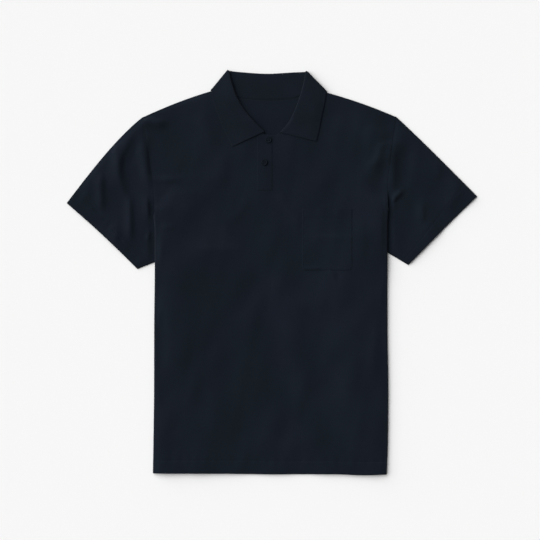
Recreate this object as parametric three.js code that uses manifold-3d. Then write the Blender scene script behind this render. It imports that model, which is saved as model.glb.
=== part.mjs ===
// A short-sleeved polo shirt laid flat on its back, front up, both sides of the body folded under.
// Millimetres. +X is to the right of someone looking down on it, +Y runs towards the collar, +Z is up.
// The origin is on the surface it lies on, under the middle of its outline.
// Left and right in names are the wearer's: the wearer's left lies at +X.

import * as THREE from "three";
import { mergeVertices } from "three/addons/utils/BufferGeometryUtils.js";
import Module from "manifold-3d";

const wasm = await Module();
wasm.setup();

// Cloth
const cloth = {
  wall: 1.1, // jersey of the body, sleeves, pocket and plackets
  collarWall: 1.4, // rib-knit collar
  gap: 0.3, // between pieces at seams and in the tight folds
  air: 1, // between the front and the back away from the seams
  slack: 0.4, // more of it where the front turns round the back
};
const layer = cloth.wall + cloth.gap; // from one folded layer's middle to the next
const floorMid = cloth.wall / 2; // middle of a sheet that lies on the surface

// Body. Each side has the seam line from the shoulder to the underarm as y and x on the unfolded cloth:
// where x passes the visible edge, the cloth turns under it.
const body = {
  middleX: -10,
  // The hem's edge, across the body from the wearer's right to the left.
  hem: [
    { across: 0, y: -371.2 },
    { across: 0.3, y: -371.8 },
    { across: 0.5, y: -373 },
    { across: 0.78, y: -372.8 },
    { across: 0.9, y: -374.5 },
    { across: 1, y: -373.4 },
  ],
};
const sides = {
  left: {
    sign: 1,
    neckPoint: { x: 69.6, y: 340.4 },
    shoulderPoint: { x: 229.7, y: 287.7 },
    shoulderRise: 4,
    underarmY: 63.8,
    hemY: -373.4,
    visibleEdge: [
      { y: -372, x: 212.1 },
      { y: -310, x: 214.3 },
      { y: -220, x: 215.1 },
      { y: -97, x: 213.4 },
      { y: 125, x: 213.6 },
    ],
    armhole: [
      { y: 63.8, x: 262 },
      { y: 74, x: 240 },
      { y: 89.7, x: 225 },
      { y: 107, x: 217 },
      { y: 124.9, x: 213.6 },
      { y: 161.9, x: 213.9 },
      { y: 226.6, x: 220.4 },
      { y: 287.7, x: 229.7 },
    ],
    crossingY: 124.9,
    tuck: 46,
    sleeveLeavesY: 36,
  },
  right: {
    sign: -1,
    neckPoint: { x: 90, y: 341.5 },
    shoulderPoint: { x: 238.4, y: 287.1 },
    shoulderRise: 3.7,
    underarmY: 43.5,
    hemY: -371.2,
    visibleEdge: [
      { y: -372, x: 219.9 },
      { y: -310, x: 218.9 },
      { y: -220, x: 217.8 },
      { y: -97, x: 217.5 },
      { y: 20, x: 216.2 },
      { y: 112, x: 216.2 },
    ],
    armhole: [
      { y: 43.5, x: 281 },
      { y: 54, x: 256 },
      { y: 70, x: 235 },
      { y: 90, x: 222 },
      { y: 111.9, x: 216.4 },
      { y: 161.9, x: 219 },
      { y: 226.6, x: 228.2 },
      { y: 287.1, x: 238.4 },
    ],
    crossingY: 111.9,
    tuck: 63,
    sleeveLeavesY: 19,
  },
};

// Sleeves, flattened tubes from the armhole to the cuff. x is given as on the wearer's left.
const sleeves = {
  left: { tip: { x: 379.5, y: 141 }, inner: { x: 252.2, y: 13.9 }, topBulge: 1.2, cuffHollow: 0.8 },
  right: { tip: { x: 379.5, y: 128.4 }, inner: { x: 248.6, y: 6.5 }, topBulge: 6.5, cuffHollow: 2 },
};

// Largest folds: soft ridges in the upper layer. (x, y) is the middle, angle is measured from +X.
const folds = [
  { x: -284, y: 205, length: 170, angle: 103, width: 8, height: 2.6 },
  { x: -262, y: 105, length: 100, angle: 90, width: 7, height: 1.8 },
  { x: -316, y: 148, length: 80, angle: 90, width: 8, height: 1.8 },
  { x: -340, y: 150, length: 70, angle: 75, width: 14, height: 1.6 },
  { x: -222, y: 277, length: 70, angle: 174, width: 7, height: 1.6 },
  { x: -237, y: 205, length: 100, angle: 98, width: 8, height: 1.8 },
  { x: -205, y: 171, length: 70, angle: 176, width: 7, height: 1.3 },
  { x: -120, y: 174, length: 110, angle: 178, width: 12, height: 1.1 },
  { x: 208, y: 214, length: 120, angle: 47, width: 14, height: 3 },
  { x: 222, y: 188, length: 110, angle: 93, width: 12, height: 2.2 },
  { x: 229, y: 140, length: 50, angle: 42, width: 5, height: 2.4 },
  { x: 276, y: 112, length: 60, angle: 95, width: 9, height: 1.3 },
  { x: 290, y: 100, length: 90, angle: 100, width: 14, height: 1.2 },
  { x: 330, y: 150, length: 90, angle: 48, width: 16, height: 1.3 },
  { x: -170, y: -90, length: 260, angle: 88, width: 22, height: 1.4 },
  { x: 150, y: -220, length: 240, angle: 92, width: 26, height: 1.4 },
  { x: -60, y: -200, length: 220, angle: 84, width: 30, height: 1.2 },
];

// Neck edges of the two panels, from the wearer's right neck point to the left one.
const neck = {
  front: [
    [-90, 341.5],
    [-83, 318],
    [-69, 291],
    [-43, 265.5],
    [1, 254],
    [34, 265],
    [54, 291],
    [63.5, 317],
    [69.6, 340.4],
  ],
  back: [
    [-90, 341.5],
    [-77, 329],
    [-58, 322],
    [-11, 318],
    [37, 321],
    [56, 328.5],
    [69.6, 340.4],
  ],
};

// Collar: one band sewn to the neck edge. Its stand rises to the roll line, and its leaf folds back over it.
// The stations are places along the neck edge, from a neck point to that side of the front opening.
const collar = {
  standSteps: 3,
  rollSteps: 4,
  leafSteps: 5,
  turnSteps: 6,
  seamStep: 0.4, // from the neck edge to the stand
  frontStandRise: 0.5, // from the neck seam to the roll, on the front
  leafGap: 0.5, // over the front panel
  backStations: 10,
  back: {
    radius: 1.5,
    roll: [
      [-78.5, 372.8],
      [-62, 370.8],
      [-11, 367.4],
      [38, 369.8],
      [61.5, 370.8],
    ],
    leaf: [
      [-111, 334.5],
      [-84, 322],
      [-11, 312],
      [62, 321],
      [99.9, 331.9],
    ],
  },
  right: {
    outward: [-0.76, 0.65],
    stations: [0, 0.1, 0.2, 0.3, 0.4, 0.472],
    radii: [1.5, 1.9, 2.2, 2.1, 1.7, 1.1],
    roll: [
      [-79, 372.8],
      [-75, 353],
      [-64, 322],
      [-47, 295],
      [-30, 276],
      [-14.5, 261],
    ],
    leaf: [
      [-111.4, 334.5],
      [-107, 314],
      [-99, 290],
      [-90, 266],
      [-73.7, 232.2],
    ],
  },
  left: {
    outward: [0.73, 0.69],
    stations: [0, 0.1, 0.2, 0.3, 0.38, 0.432],
    radii: [1.5, 1.9, 2.2, 2.1, 1.7, 1.1],
    roll: [
      [62, 370.8],
      [59.5, 352],
      [51, 322],
      [42, 298],
      [31, 277],
      [16.9, 260],
    ],
    leaf: [
      [100.4, 331.4],
      [97.5, 312],
      [92.5, 290],
      [87.5, 264],
      [82.6, 242.2],
    ],
  },
};

const placket = { middleX: -12.7, width: 28, topY: 252.8, bottomY: 151 };
const pocket = { innerX: 55.8, outerX: 148.3, topY: 117.5, bottomY: 4, corner: 7, gap: 0.45 };
const buttons = {
  diameter: 11.5,
  thickness: 2.2,
  bevel: 0.6,
  rim: 1.4,
  dish: 0.6,
  holeRadius: 0.8,
  holeSpacing: 2.6,
  places: [
    { name: "button_1", x: -6.5, y: 245 },
    { name: "button_2", x: -13.9, y: 203.5 },
  ],
};

const finishes = {
  jersey: { color: 0x161d28, roughness: 0.9, metalness: 0 },
  rib: { color: 0x171e2a, roughness: 0.92, metalness: 0 },
  button: { color: 0x141a24, roughness: 0.45, metalness: 0 },
};

// Plain helpers
const mix = (a, b, t) => a + (b - a) * t;
const smooth = (from, to, at) => {
  const t = THREE.MathUtils.clamp((at - from) / (to - from), 0, 1);
  return t * t * (3 - 2 * t);
};
const vector = (x, y, z) => new THREE.Vector3(x, y, z);
const splineThrough = (points) => new THREE.SplineCurve(points.map(([x, y]) => new THREE.Vector2(x, y)));

// Value of a column between the rows of a table sorted by its key, without overshoot.
function readTable(rows, key, column, at) {
  const last = rows.length - 1;
  if (at <= rows[0][key]) return rows[0][column];
  if (at >= rows[last][key]) return rows[last][column];
  const i = rows.findIndex((row) => row[key] > at) - 1;
  const slopeOf = (k) => (rows[k + 1][column] - rows[k][column]) / (rows[k + 1][key] - rows[k][key]);
  const tangent = (k) => {
    if (k === 0) return slopeOf(0);
    if (k === last) return slopeOf(last - 1);
    const before = slopeOf(k - 1);
    const after = slopeOf(k);
    return before * after <= 0 ? 0 : (2 * before * after) / (before + after);
  };
  const span = rows[i + 1][key] - rows[i][key];
  const t = (at - rows[i][key]) / span;
  const rise = rows[i + 1][column] - rows[i][column];
  const start = tangent(i) * span;
  const end = tangent(i + 1) * span;
  const curve = t * t * (3 * rise - 2 * start - end) + t * t * t * (start + end - 2 * rise);
  return rows[i][column] + t * start + curve;
}

// A closed wall round a grid of middle points, rows by columns. A tube's columns close on themselves.
function clothWall(grid, wall, isTube = false) {
  const rowCount = grid.length;
  const columnCount = grid[0].length;
  const pick = (row, column) => {
    const open = THREE.MathUtils.clamp(column, 0, columnCount - 1);
    const round = (column + columnCount) % columnCount;
    return grid[THREE.MathUtils.clamp(row, 0, rowCount - 1)][isTube ? round : open];
  };
  const positions = [];
  for (const side of [1, -1]) {
    for (let row = 0; row < rowCount; row += 1) {
      for (let column = 0; column < columnCount; column += 1) {
        const along = pick(row, column + 1).clone().sub(pick(row, column - 1));
        const down = pick(row + 1, column).clone().sub(pick(row - 1, column));
        const normal = down.cross(along).normalize();
        const point = grid[row][column].clone().addScaledVector(normal, (side * wall) / 2);
        positions.push(point.x, point.y, point.z);
      }
    }
  }
  const inner = rowCount * columnCount;
  const indices = [];
  const quad = (a, b, c, d) => indices.push(a, b, c, a, c, d);
  const spans = isTube ? columnCount : columnCount - 1;
  for (let row = 0; row < rowCount - 1; row += 1) {
    for (let column = 0; column < spans; column += 1) {
      const next = (column + 1) % columnCount;
      const a = row * columnCount + column;
      const b = row * columnCount + next;
      const c = (row + 1) * columnCount + next;
      const d = (row + 1) * columnCount + column;
      quad(a, d, c, b);
      quad(inner + a, inner + b, inner + c, inner + d);
    }
    if (!isTube) {
      const first = row * columnCount;
      const end = first + columnCount - 1;
      quad(first, inner + first, inner + first + columnCount, first + columnCount);
      quad(end, end + columnCount, inner + end + columnCount, inner + end);
    }
  }
  for (let column = 0; column < spans; column += 1) {
    const next = (column + 1) % columnCount;
    const bottom = (rowCount - 1) * columnCount;
    quad(column, next, inner + next, inner + column);
    quad(bottom + column, inner + bottom + column, inner + bottom + next, bottom + next);
  }
  const geometry = new THREE.BufferGeometry();
  geometry.setAttribute("position", new THREE.Float32BufferAttribute(positions, 3));
  geometry.setIndex(indices);
  return geometry;
}

// Heights of the body's layers
const turnRadius = { back: layer / 2, middle: layer, front: (3 * layer) / 2 + cloth.slack };
const sleeveRoom = 2 * layer + cloth.gap; // the flat sleeve under the folded side
const sideRise = 30; // length over which the side climbs onto the sleeve
const sideFall = 80; // length over which it comes down again below the sleeve
const innerRamp = { start: 4, width: 105 }; // where the body sinks from its folded side to the surface
const turnOpening = { below: 34, above: 4 }; // about the crossing, where the side starts to turn under
const flatAbove = { from: 4, to: 28, reach: 40 }; // over this height the fold line runs out past the armhole
const seamEase = { air: 24, folds: 16 }; // widths beside a seam where the layers meet
// The hump over the collar's hidden leaf: the leaf's edge is at leafY in the middle and higher at its ends.
const collarHump = { leafY: 313, bow: 0.0019, rise: 0.7, from: 58, to: 14, halfWidth: 112, fade: 42 };
const placketHump = { rise: 0.7, flat: 14, ramp: 36, below: 16, belowRamp: 34 };

const visibleEdgeX = (side, y) => readTable(side.visibleEdge, "y", "x", y);
const armholeX = (side, y) => readTable(side.armhole, "y", "x", y);
const aboveCrossing = (side, y) => smooth(side.crossingY, side.crossingY + sideRise, y);

// Where the flat part of a panel ends and its turn begins on one side. Above the crossing nothing turns.
function foldStart(side, y) {
  const turn = turnRadius.front + cloth.wall / 2;
  const opening = turn * smooth(side.crossingY - turnOpening.below, side.crossingY + turnOpening.above, y);
  const above = smooth(side.crossingY + flatAbove.from, side.crossingY + flatAbove.to, y);
  return visibleEdgeX(side, y) - turn + opening + flatAbove.reach * above;
}

// 1 where the sleeve lies under the folded side, 0 away from it.
function sleeveUnder(side, y) {
  return (1 - aboveCrossing(side, y)) * smooth(side.sleeveLeavesY - sideFall, side.sleeveLeavesY, y);
}

// How far the body is raised over its turned-under side, at a point given as on the wearer's left.
function sideLift(side, x, y) {
  const strips = 2 * layer + cloth.slack;
  const full = strips * (1 - aboveCrossing(side, y)) + sleeveRoom * sleeveUnder(side, y);
  const turnedUnder = Math.max(innerRamp.start, armholeX(side, y) - visibleEdgeX(side, y));
  const hiddenDepth = y > side.underarmY ? turnedUnder : side.tuck;
  const inward = visibleEdgeX(side, y) - x - Math.min(hiddenDepth, side.tuck) - innerRamp.start;
  return full * (1 - smooth(0, innerRamp.width, inward));
}

// The back neck is raised over the part of the collar that lies under it.
function collarLift(x, y) {
  const { leafY, bow, rise, from, to, halfWidth, fade } = collarHump;
  const across = 1 - smooth(halfWidth, halfWidth + fade, Math.abs(x - body.middleX));
  const leafEdgeY = leafY + bow * (x - body.middleX) ** 2;
  return (cloth.collarWall + rise) * smooth(leafEdgeY - from, leafEdgeY - to, y) * across;
}

function backHeight(x, y) {
  const side = x > 0 ? sides.left : sides.right;
  return floorMid + sideLift(side, Math.abs(x), y) + collarLift(x, y);
}

function foldHeight(x, y) {
  let height = 0;
  for (const fold of folds) {
    const angle = THREE.MathUtils.degToRad(fold.angle);
    const along = (x - fold.x) * Math.cos(angle) + (y - fold.y) * Math.sin(angle);
    const across = (y - fold.y) * Math.cos(angle) - (x - fold.x) * Math.sin(angle);
    const taper = 1 - smooth(0.35, 1, Math.abs(along) / (fold.length / 2));
    height += fold.height * taper * Math.exp(-((across / fold.width) ** 2));
  }
  return height;
}

function placketRoom(x, y) {
  const { rise, flat, ramp, below, belowRamp } = placketHump;
  const edge = placket.width / 2 + flat;
  const across = 1 - smooth(edge, edge + ramp, Math.abs(x - placket.middleX));
  return rise * across * smooth(placket.bottomY - below - belowRamp, placket.bottomY - below, y);
}

// Height of the front over the back. It comes down to the back over the last stretch before a seam.
function frontHeight(x, y, fromSeam) {
  const air = mix(cloth.slack, cloth.air, smooth(0, seamEase.air, fromSeam));
  const fold = foldHeight(x, y) * smooth(0, seamEase.folds, fromSeam);
  return backHeight(x, y) + layer + air + placketRoom(x, y) + fold;
}

// The columns of a panel between its folds: shoulder, neck and shoulder.
const mainColumns = 18;
const neckColumns = { first: 4, last: 14 };

// Points of the top edge at each of those columns.
function topEdge(neckPoints) {
  const { left, right } = sides;
  const neckCurve = splineThrough(neckPoints);
  const shoulder = (side, t) => {
    const x = mix(side.shoulderPoint.x, side.neckPoint.x, t);
    const y = mix(side.shoulderPoint.y, side.neckPoint.y, t) + side.shoulderRise * Math.sin(Math.PI * t);
    return new THREE.Vector2(side.sign * x, y);
  };
  const points = [];
  for (let i = 0; i <= mainColumns; i += 1) {
    const acrossNeck = (i - neckColumns.first) / (neckColumns.last - neckColumns.first);
    const fromLeft = (mainColumns - i) / (mainColumns - neckColumns.last);
    if (i < neckColumns.first) points.push(shoulder(right, i / neckColumns.first));
    else if (i > neckColumns.last) points.push(shoulder(left, fromLeft));
    else points.push(neckCurve.getPointAt(acrossNeck));
  }
  return points;
}
const topEdges = { front: topEdge(neck.front), back: topEdge(neck.back) };

// Rows of a body panel: first as parts of the armhole's height, then as parts of the way down to the hem.
const armholeRows = [
  0, 0.05, 0.12, 0.2, 0.3, 0.4, 0.5, 0.58, 0.63, 0.67, 0.7, 0.725, 0.75, 0.775, 0.805, 0.84, 0.88, 0.94, 1,
];
const lowerRows = [0.04, 0.09, 0.15, 0.22, 0.31, 0.42, 0.54, 0.66, 0.78, 0.9, 1];
const turnColumns = 4;
const stripColumns = 2;
const turnLead = 4.5; // above the crossing the turn's columns lie flat, this far inside the armhole's edge
const stripLead = 1.4;

// One side's end of a row: the columns from the last flat one outwards, as distances along the cloth.
function sideColumns(side, y) {
  const start = foldStart(side, y);
  const turnLength = Math.PI * turnRadius.middle;
  const end = y <= side.underarmY ? start + turnLength + side.tuck : armholeX(side, y);
  const turnStart = Math.min(start, end - turnLead);
  const turnEnd = Math.min(start + turnLength, end - stripLead);
  const distances = [];
  for (let i = 0; i <= turnColumns; i += 1) distances.push(mix(turnStart, turnEnd, i / turnColumns));
  for (let i = 1; i <= stripColumns; i += 1) distances.push(mix(turnEnd, end, i / stripColumns));
  return distances;
}

// Places a point of one side: flat, round the turn, or back under it.
function sidePoint(side, distance, y, isFront) {
  const start = foldStart(side, y);
  const fromSeam = Math.max(0, Math.min(start, armholeX(side, Math.max(y, side.crossingY))) - distance);
  if (distance <= start) {
    const x = side.sign * distance;
    return vector(x, y, isFront ? frontHeight(x, y, fromSeam) : backHeight(x, y));
  }
  const radius = isFront ? turnRadius.front : turnRadius.back;
  const stripZ = floorMid + sleeveRoom * sleeveUnder(side, y) + (isFront ? 0 : layer + cloth.slack);
  const angle = (distance - start) / turnRadius.middle;
  if (angle < Math.PI) {
    const x = start + radius * Math.sin(angle);
    return vector(side.sign * x, y, stripZ + radius + radius * Math.cos(angle));
  }
  return vector(side.sign * (start - (distance - start - Math.PI * turnRadius.middle)), y, stripZ);
}

function bodyGrid(isFront) {
  const top = isFront ? topEdges.front : topEdges.back;
  const makeRow = (v, lower) => {
    const { left, right } = sides;
    const sideY = (side) => mix(mix(side.shoulderPoint.y, side.underarmY, v), side.hemY, lower);
    const endPoints = (side) => {
      const y = sideY(side);
      return sideColumns(side, y).map((distance) => sidePoint(side, distance, y, isFront));
    };
    const rightPoints = endPoints(right);
    const leftPoints = endPoints(left);
    const row = [...rightPoints].reverse();
    for (let i = 1; i < mainColumns; i += 1) {
      const part = i / mainColumns;
      const flatX = mix(rightPoints[0].x, leftPoints[0].x, part);
      const x = mix(top[i].x, flatX, smooth(0, 1, v));
      const underarmY = mix(right.underarmY, left.underarmY, part);
      const hemY = readTable(body.hem, "across", "y", part);
      const y = mix(mix(top[i].y, underarmY, v), hemY, lower);
      const isShoulder = i <= neckColumns.first || i >= neckColumns.last;
      const fromShoulder = isShoulder ? top[i].y - y : Infinity;
      const fromSeam = Math.min(x - rightPoints[0].x, leftPoints[0].x - x, fromShoulder);
      row.push(vector(x, y, isFront ? frontHeight(x, y, fromSeam) : backHeight(x, y)));
    }
    return [...row, ...leftPoints];
  };
  return [...armholeRows.map((v) => makeRow(v, 0)), ...lowerRows.map((lower) => makeRow(1, lower))];
}
const frontGrid = bodyGrid(true);
const backGrid = bodyGrid(false);

// Height of the front panel's own facets at a point, for what is sewn on it.
function frontSurface(x, y) {
  const first = turnColumns + stripColumns;
  const corner = new THREE.Vector3();
  for (let row = 0; row < frontGrid.length - 1; row += 1) {
    for (let column = first; column < first + mainColumns; column += 1) {
      const a = frontGrid[row][column];
      const b = frontGrid[row][column + 1];
      const c = frontGrid[row + 1][column + 1];
      const d = frontGrid[row + 1][column];
      for (const [p, q, r] of [[a, d, c], [a, c, b]]) {
        const flat = [p, q, r].map((point) => vector(point.x, point.y, 0));
        THREE.Triangle.getBarycoord(vector(x, y, 0), ...flat, corner);
        const isInside = Math.min(corner.x, corner.y, corner.z) >= -1e-6;
        if (isInside) return corner.x * p.z + corner.y * q.z + corner.z * r.z;
      }
    }
  }
  return frontHeight(x, y, 100);
}

// A flat piece laid over or under the front panel, from its outline's rows.
function laidPiece(rows, columns, offset) {
  const grid = rows.map(({ y, fromX, toX }) => {
    const row = [];
    for (let i = 0; i <= columns; i += 1) {
      const x = mix(fromX, toX, i / columns);
      row.push(vector(x, y, frontSurface(x, y) + offset));
    }
    return row;
  });
  return clothWall(grid, cloth.wall);
}

function placketStrip(offset, inset) {
  const rows = [];
  const steps = 8;
  for (let i = 0; i <= steps; i += 1) {
    const y = mix(placket.topY, placket.bottomY + inset, i / steps);
    const half = placket.width / 2 - inset;
    rows.push({ y, fromX: placket.middleX - half, toX: placket.middleX + half });
  }
  return laidPiece(rows, 4, offset);
}

// The pocket's two lower corners are rounded off by narrowing its last rows.
function chestPocket() {
  const rows = [];
  const steps = 8;
  for (let i = 0; i <= steps; i += 1) {
    const y = mix(pocket.topY, pocket.bottomY + pocket.corner, i / steps);
    rows.push({ y, fromX: pocket.innerX, toX: pocket.outerX });
  }
  for (const angle of [30, 60, 80]) {
    const turn = THREE.MathUtils.degToRad(angle);
    const narrowing = pocket.corner * (1 - Math.cos(turn));
    const y = pocket.bottomY + pocket.corner * (1 - Math.sin(turn));
    rows.push({ y, fromX: pocket.innerX + narrowing, toX: pocket.outerX - narrowing });
  }
  return laidPiece(rows, 8, cloth.wall + pocket.gap);
}

// A sleeve is a flattened tube. Its hidden part lies under the folded side of the body.
const sleeveWall = {
  acrossSteps: 11,
  alongSteps: 9,
  seamStep: 0.4, // from the armhole's edge
  air: 0.8, // inside the tube, away from its edges
  bodyEase: 26, // width beside the body where the tube lies flat
  edgeEase: 0.1, // part of the tube's width beside its two edges
  seamEase: 0.12, // part of its length beside the armhole
  bulgePower: 0.75, // under 1, so the upper edge bulges most near the shoulder
};

function sleeveTube(side, shape) {
  const { acrossSteps, alongSteps } = sleeveWall;
  const seamPoint = (t) => {
    const y = mix(side.shoulderPoint.y, side.underarmY, t);
    const past = Math.max(0, armholeX(side, y) - visibleEdgeX(side, y));
    const x = y < side.crossingY ? visibleEdgeX(side, y) - past : armholeX(side, y);
    return new THREE.Vector2(x + sleeveWall.seamStep, y);
  };
  const { tip: tipPoint, inner } = shape;
  const cuffPoint = (t) => new THREE.Vector2(mix(tipPoint.x, inner.x, t), mix(tipPoint.y, inner.y, t));
  const tip = cuffPoint(0);
  const outward = tip.clone().sub(seamPoint(0)).normalize();
  const upward = new THREE.Vector2(-outward.y, outward.x);
  const cuffWay = cuffPoint(0).sub(cuffPoint(1)).normalize();
  const inward = new THREE.Vector2(-cuffWay.y, cuffWay.x);
  const plan = (t, w) => {
    const bulge = shape.topBulge * Math.sin(Math.PI * w ** sleeveWall.bulgePower) * (1 - t) ** 2;
    const hollow = shape.cuffHollow * Math.sin(Math.PI * t) * w * w;
    return seamPoint(t).lerp(cuffPoint(t), w).addScaledVector(upward, bulge).addScaledVector(inward, hollow);
  };
  const radius = layer / 2;
  const edge = radius + cloth.wall / 2;
  const grid = [];
  for (let k = 0; k <= alongSteps; k += 1) {
    const w = k / alongSteps;
    const inset = edge / plan(0, w).distanceTo(plan(1, w));
    const upper = plan(inset, w);
    const lower = plan(1 - inset, w);
    const step = 1 / acrossSteps;
    const upperOut = upper.clone().sub(plan(inset + step, w)).normalize();
    const lowerOut = lower.clone().sub(plan(1 - inset - step, w)).normalize();
    const topLayer = [];
    const bottomLayer = [];
    for (let i = 0; i <= acrossSteps; i += 1) {
      const t = mix(inset, 1 - inset, i / acrossSteps);
      const { x, y } = plan(t, w);
      const bodyEdge = visibleEdgeX(side, y) + innerRamp.start;
      const fromBody = smooth(bodyEdge, bodyEdge + sleeveWall.bodyEase, x);
      const fromEdges = smooth(0, sleeveWall.edgeEase, t) * smooth(0, sleeveWall.edgeEase, 1 - t);
      const ease = fromBody * fromEdges * smooth(0, sleeveWall.seamEase, w);
      const rise = (sleeveWall.air + foldHeight(side.sign * x, y)) * ease;
      topLayer.push(vector(side.sign * x, y, floorMid + layer + rise));
      bottomLayer.push(vector(side.sign * x, y, floorMid));
    }
    const turn = (point, out, from, to) =>
      [1, 2, 3].map((step) => {
        const angle = mix(from, to, step / 4);
        const reach = radius * Math.sin(angle);
        const x = side.sign * (point.x + out.x * reach);
        return vector(x, point.y + out.y * reach, floorMid + radius + radius * Math.cos(angle));
      });
    const section = [
      ...topLayer,
      ...turn(lower, lowerOut, 0, Math.PI),
      ...bottomLayer.reverse(),
      ...turn(upper, upperOut, Math.PI, 0),
    ];
    grid.push(side.sign > 0 ? section : section.reverse());
  }
  return clothWall(grid, cloth.wall, true);
}

// A place along a panel's neck edge, as the panel's own columns have it.
function neckEdge(row, part) {
  const count = neckColumns.last - neckColumns.first;
  const at = Math.min(count - 1, Math.floor(part * count));
  const first = turnColumns + stripColumns + neckColumns.first + at;
  const from = row[first];
  const to = row[first + 1];
  const point = from.clone().lerp(to, part * count - at);
  const along = new THREE.Vector2(to.x - from.x, to.y - from.y).normalize();
  const seam = new THREE.Vector2(point.x - along.y * collar.seamStep, point.y + along.x * collar.seamStep);
  return { seam, z: point.z };
}

// One crossways line of the collar, from the neck seam over the roll to the leaf's edge.
function collarSection({ seam, seamZ, roll, leaf, radius, standZ, side, leafHeight }) {
  const up = roll.clone().sub(seam).normalize();
  const centre = roll.clone().addScaledVector(up, -radius - cloth.collarWall / 2);
  const centreZ = standZ + side * radius;
  const points = [];
  for (let i = 0; i < collar.standSteps; i += 1) {
    const t = i / collar.standSteps;
    const { x, y } = seam.clone().lerp(centre, t);
    points.push(vector(x, y, mix(seamZ, standZ, smooth(0, 1, t))));
  }
  for (let i = 0; i <= collar.rollSteps; i += 1) {
    const angle = (Math.PI * i) / collar.rollSteps;
    const { x, y } = centre.clone().addScaledVector(up, radius * Math.sin(angle));
    points.push(vector(x, y, centreZ - side * radius * Math.cos(angle)));
  }
  for (let i = 1; i <= collar.leafSteps; i += 1) {
    const t = i / collar.leafSteps;
    const { x, y } = centre.clone().lerp(leaf, t);
    points.push(vector(x, y, leafHeight(x, y, t, centreZ + side * radius)));
  }
  return points;
}

function backSections() {
  const rollCurve = splineThrough(collar.back.roll);
  const leafCurve = splineThrough(collar.back.leaf);
  const floor = cloth.collarWall / 2;
  const { radius } = collar.back;
  const sections = [];
  for (let i = 0; i <= collar.backStations; i += 1) {
    const part = i / collar.backStations;
    const { seam, z } = neckEdge(backGrid[0], part);
    sections.push(
      collarSection({
        seam,
        seamZ: z,
        roll: rollCurve.getPointAt(part),
        leaf: leafCurve.getPointAt(part),
        radius,
        standZ: floor + 2 * radius,
        side: -1,
        leafHeight: () => floor,
      }),
    );
  }
  return sections;
}

function frontSections(shape, isLeft) {
  const rollCurve = splineThrough(shape.roll);
  const leafCurve = splineThrough(shape.leaf);
  const last = shape.stations.length - 1;
  const overPanel = cloth.wall / 2 + collar.leafGap + cloth.collarWall / 2;
  return shape.stations.map((station, i) => {
    const { seam, z } = neckEdge(frontGrid[0], isLeft ? 1 - station : station);
    return collarSection({
      seam,
      seamZ: z,
      roll: rollCurve.getPoint(i / last),
      leaf: leafCurve.getPoint(i / last),
      radius: shape.radii[i],
      standZ: z + collar.frontStandRise,
      side: 1,
      leafHeight: (x, y, t, rollZ) => {
        const rest = frontSurface(x, y) + overPanel;
        return Math.max(rest, mix(rollZ, rest, smooth(0, 1, t)));
      },
    });
  });
}

// The stretch at a neck point, where the collar passes from the back, below, to the front, above.
function turnSections(backSection, frontSection, outward) {
  const sections = [];
  for (let k = 1; k < collar.turnSteps; k += 1) {
    const angle = (Math.PI * k) / collar.turnSteps;
    sections.push(
      backSection.map((low, i) => {
        const high = frontSection[i];
        const reach = (Math.abs(high.z - low.z) / 2) * Math.sin(angle);
        const point = low.clone().lerp(high, (1 - Math.cos(angle)) / 2);
        return point.add(vector(outward[0] * reach, outward[1] * reach, 0));
      }),
    );
  }
  return sections;
}

function collarBand() {
  const right = frontSections(collar.right, false);
  const left = frontSections(collar.left, true);
  const back = backSections();
  const rightTurn = turnSections(back[0], right[0], collar.right.outward);
  const leftTurn = turnSections(back[back.length - 1], left[0], collar.left.outward);
  const ring = [...right.reverse(), ...rightTurn.reverse(), ...back, ...leftTurn, ...left];
  return clothWall(ring, cloth.collarWall);
}

// A sew-through button with a raised rim and four thread holes.
function makeButton({ x, y }) {
  const radius = buttons.diameter / 2;
  const { thickness, bevel, rim, dish } = buttons;
  const profile = [
    [0, 0],
    [radius - bevel, 0],
    [radius, bevel],
    [radius, thickness - bevel],
    [radius - bevel, thickness],
    [radius - rim, thickness],
    [radius - rim - dish, thickness - dish],
    [0, thickness - dish],
  ].map(([r, z]) => new THREE.Vector2(r, z));
  const disc = new THREE.LatheGeometry(profile, 18).rotateX(Math.PI / 2);
  let solid = solidOf(disc);
  for (const [dx, dy] of [[1, 1], [1, -1], [-1, 1], [-1, -1]]) {
    const hole = new THREE.CylinderGeometry(buttons.holeRadius, buttons.holeRadius, 3 * thickness, 6);
    hole.rotateX(Math.PI / 2).translate((dx * buttons.holeSpacing) / 2, (dy * buttons.holeSpacing) / 2, 0);
    solid = solid.subtract(solidOf(hole));
  }
  const z = frontSurface(x, y) + layer + cloth.wall / 2 + cloth.gap;
  return geometryOf(solid).translate(x, y, z);
}

function solidOf(geometry) {
  const bare = geometry.clone();
  bare.deleteAttribute("normal");
  bare.deleteAttribute("uv");
  const merged = mergeVertices(bare, 1e-4);
  const vertProperties = merged.attributes.position.array;
  const triVerts = new Uint32Array(merged.index.array);
  return new wasm.Manifold(new wasm.Mesh({ numProp: 3, vertProperties, triVerts }));
}

function geometryOf(solid) {
  const { vertProperties, triVerts } = solid.getMesh();
  const geometry = new THREE.BufferGeometry();
  geometry.setAttribute("position", new THREE.BufferAttribute(new Float32Array(vertProperties), 3));
  geometry.setIndex(new THREE.BufferAttribute(new Uint32Array(triVerts), 1));
  return geometry;
}

const model = new THREE.Group();

function addPiece(name, geometry, finish) {
  const mesh = new THREE.Mesh(geometry, new THREE.MeshStandardMaterial(finish));
  mesh.name = name;
  model.add(mesh);
}

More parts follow.
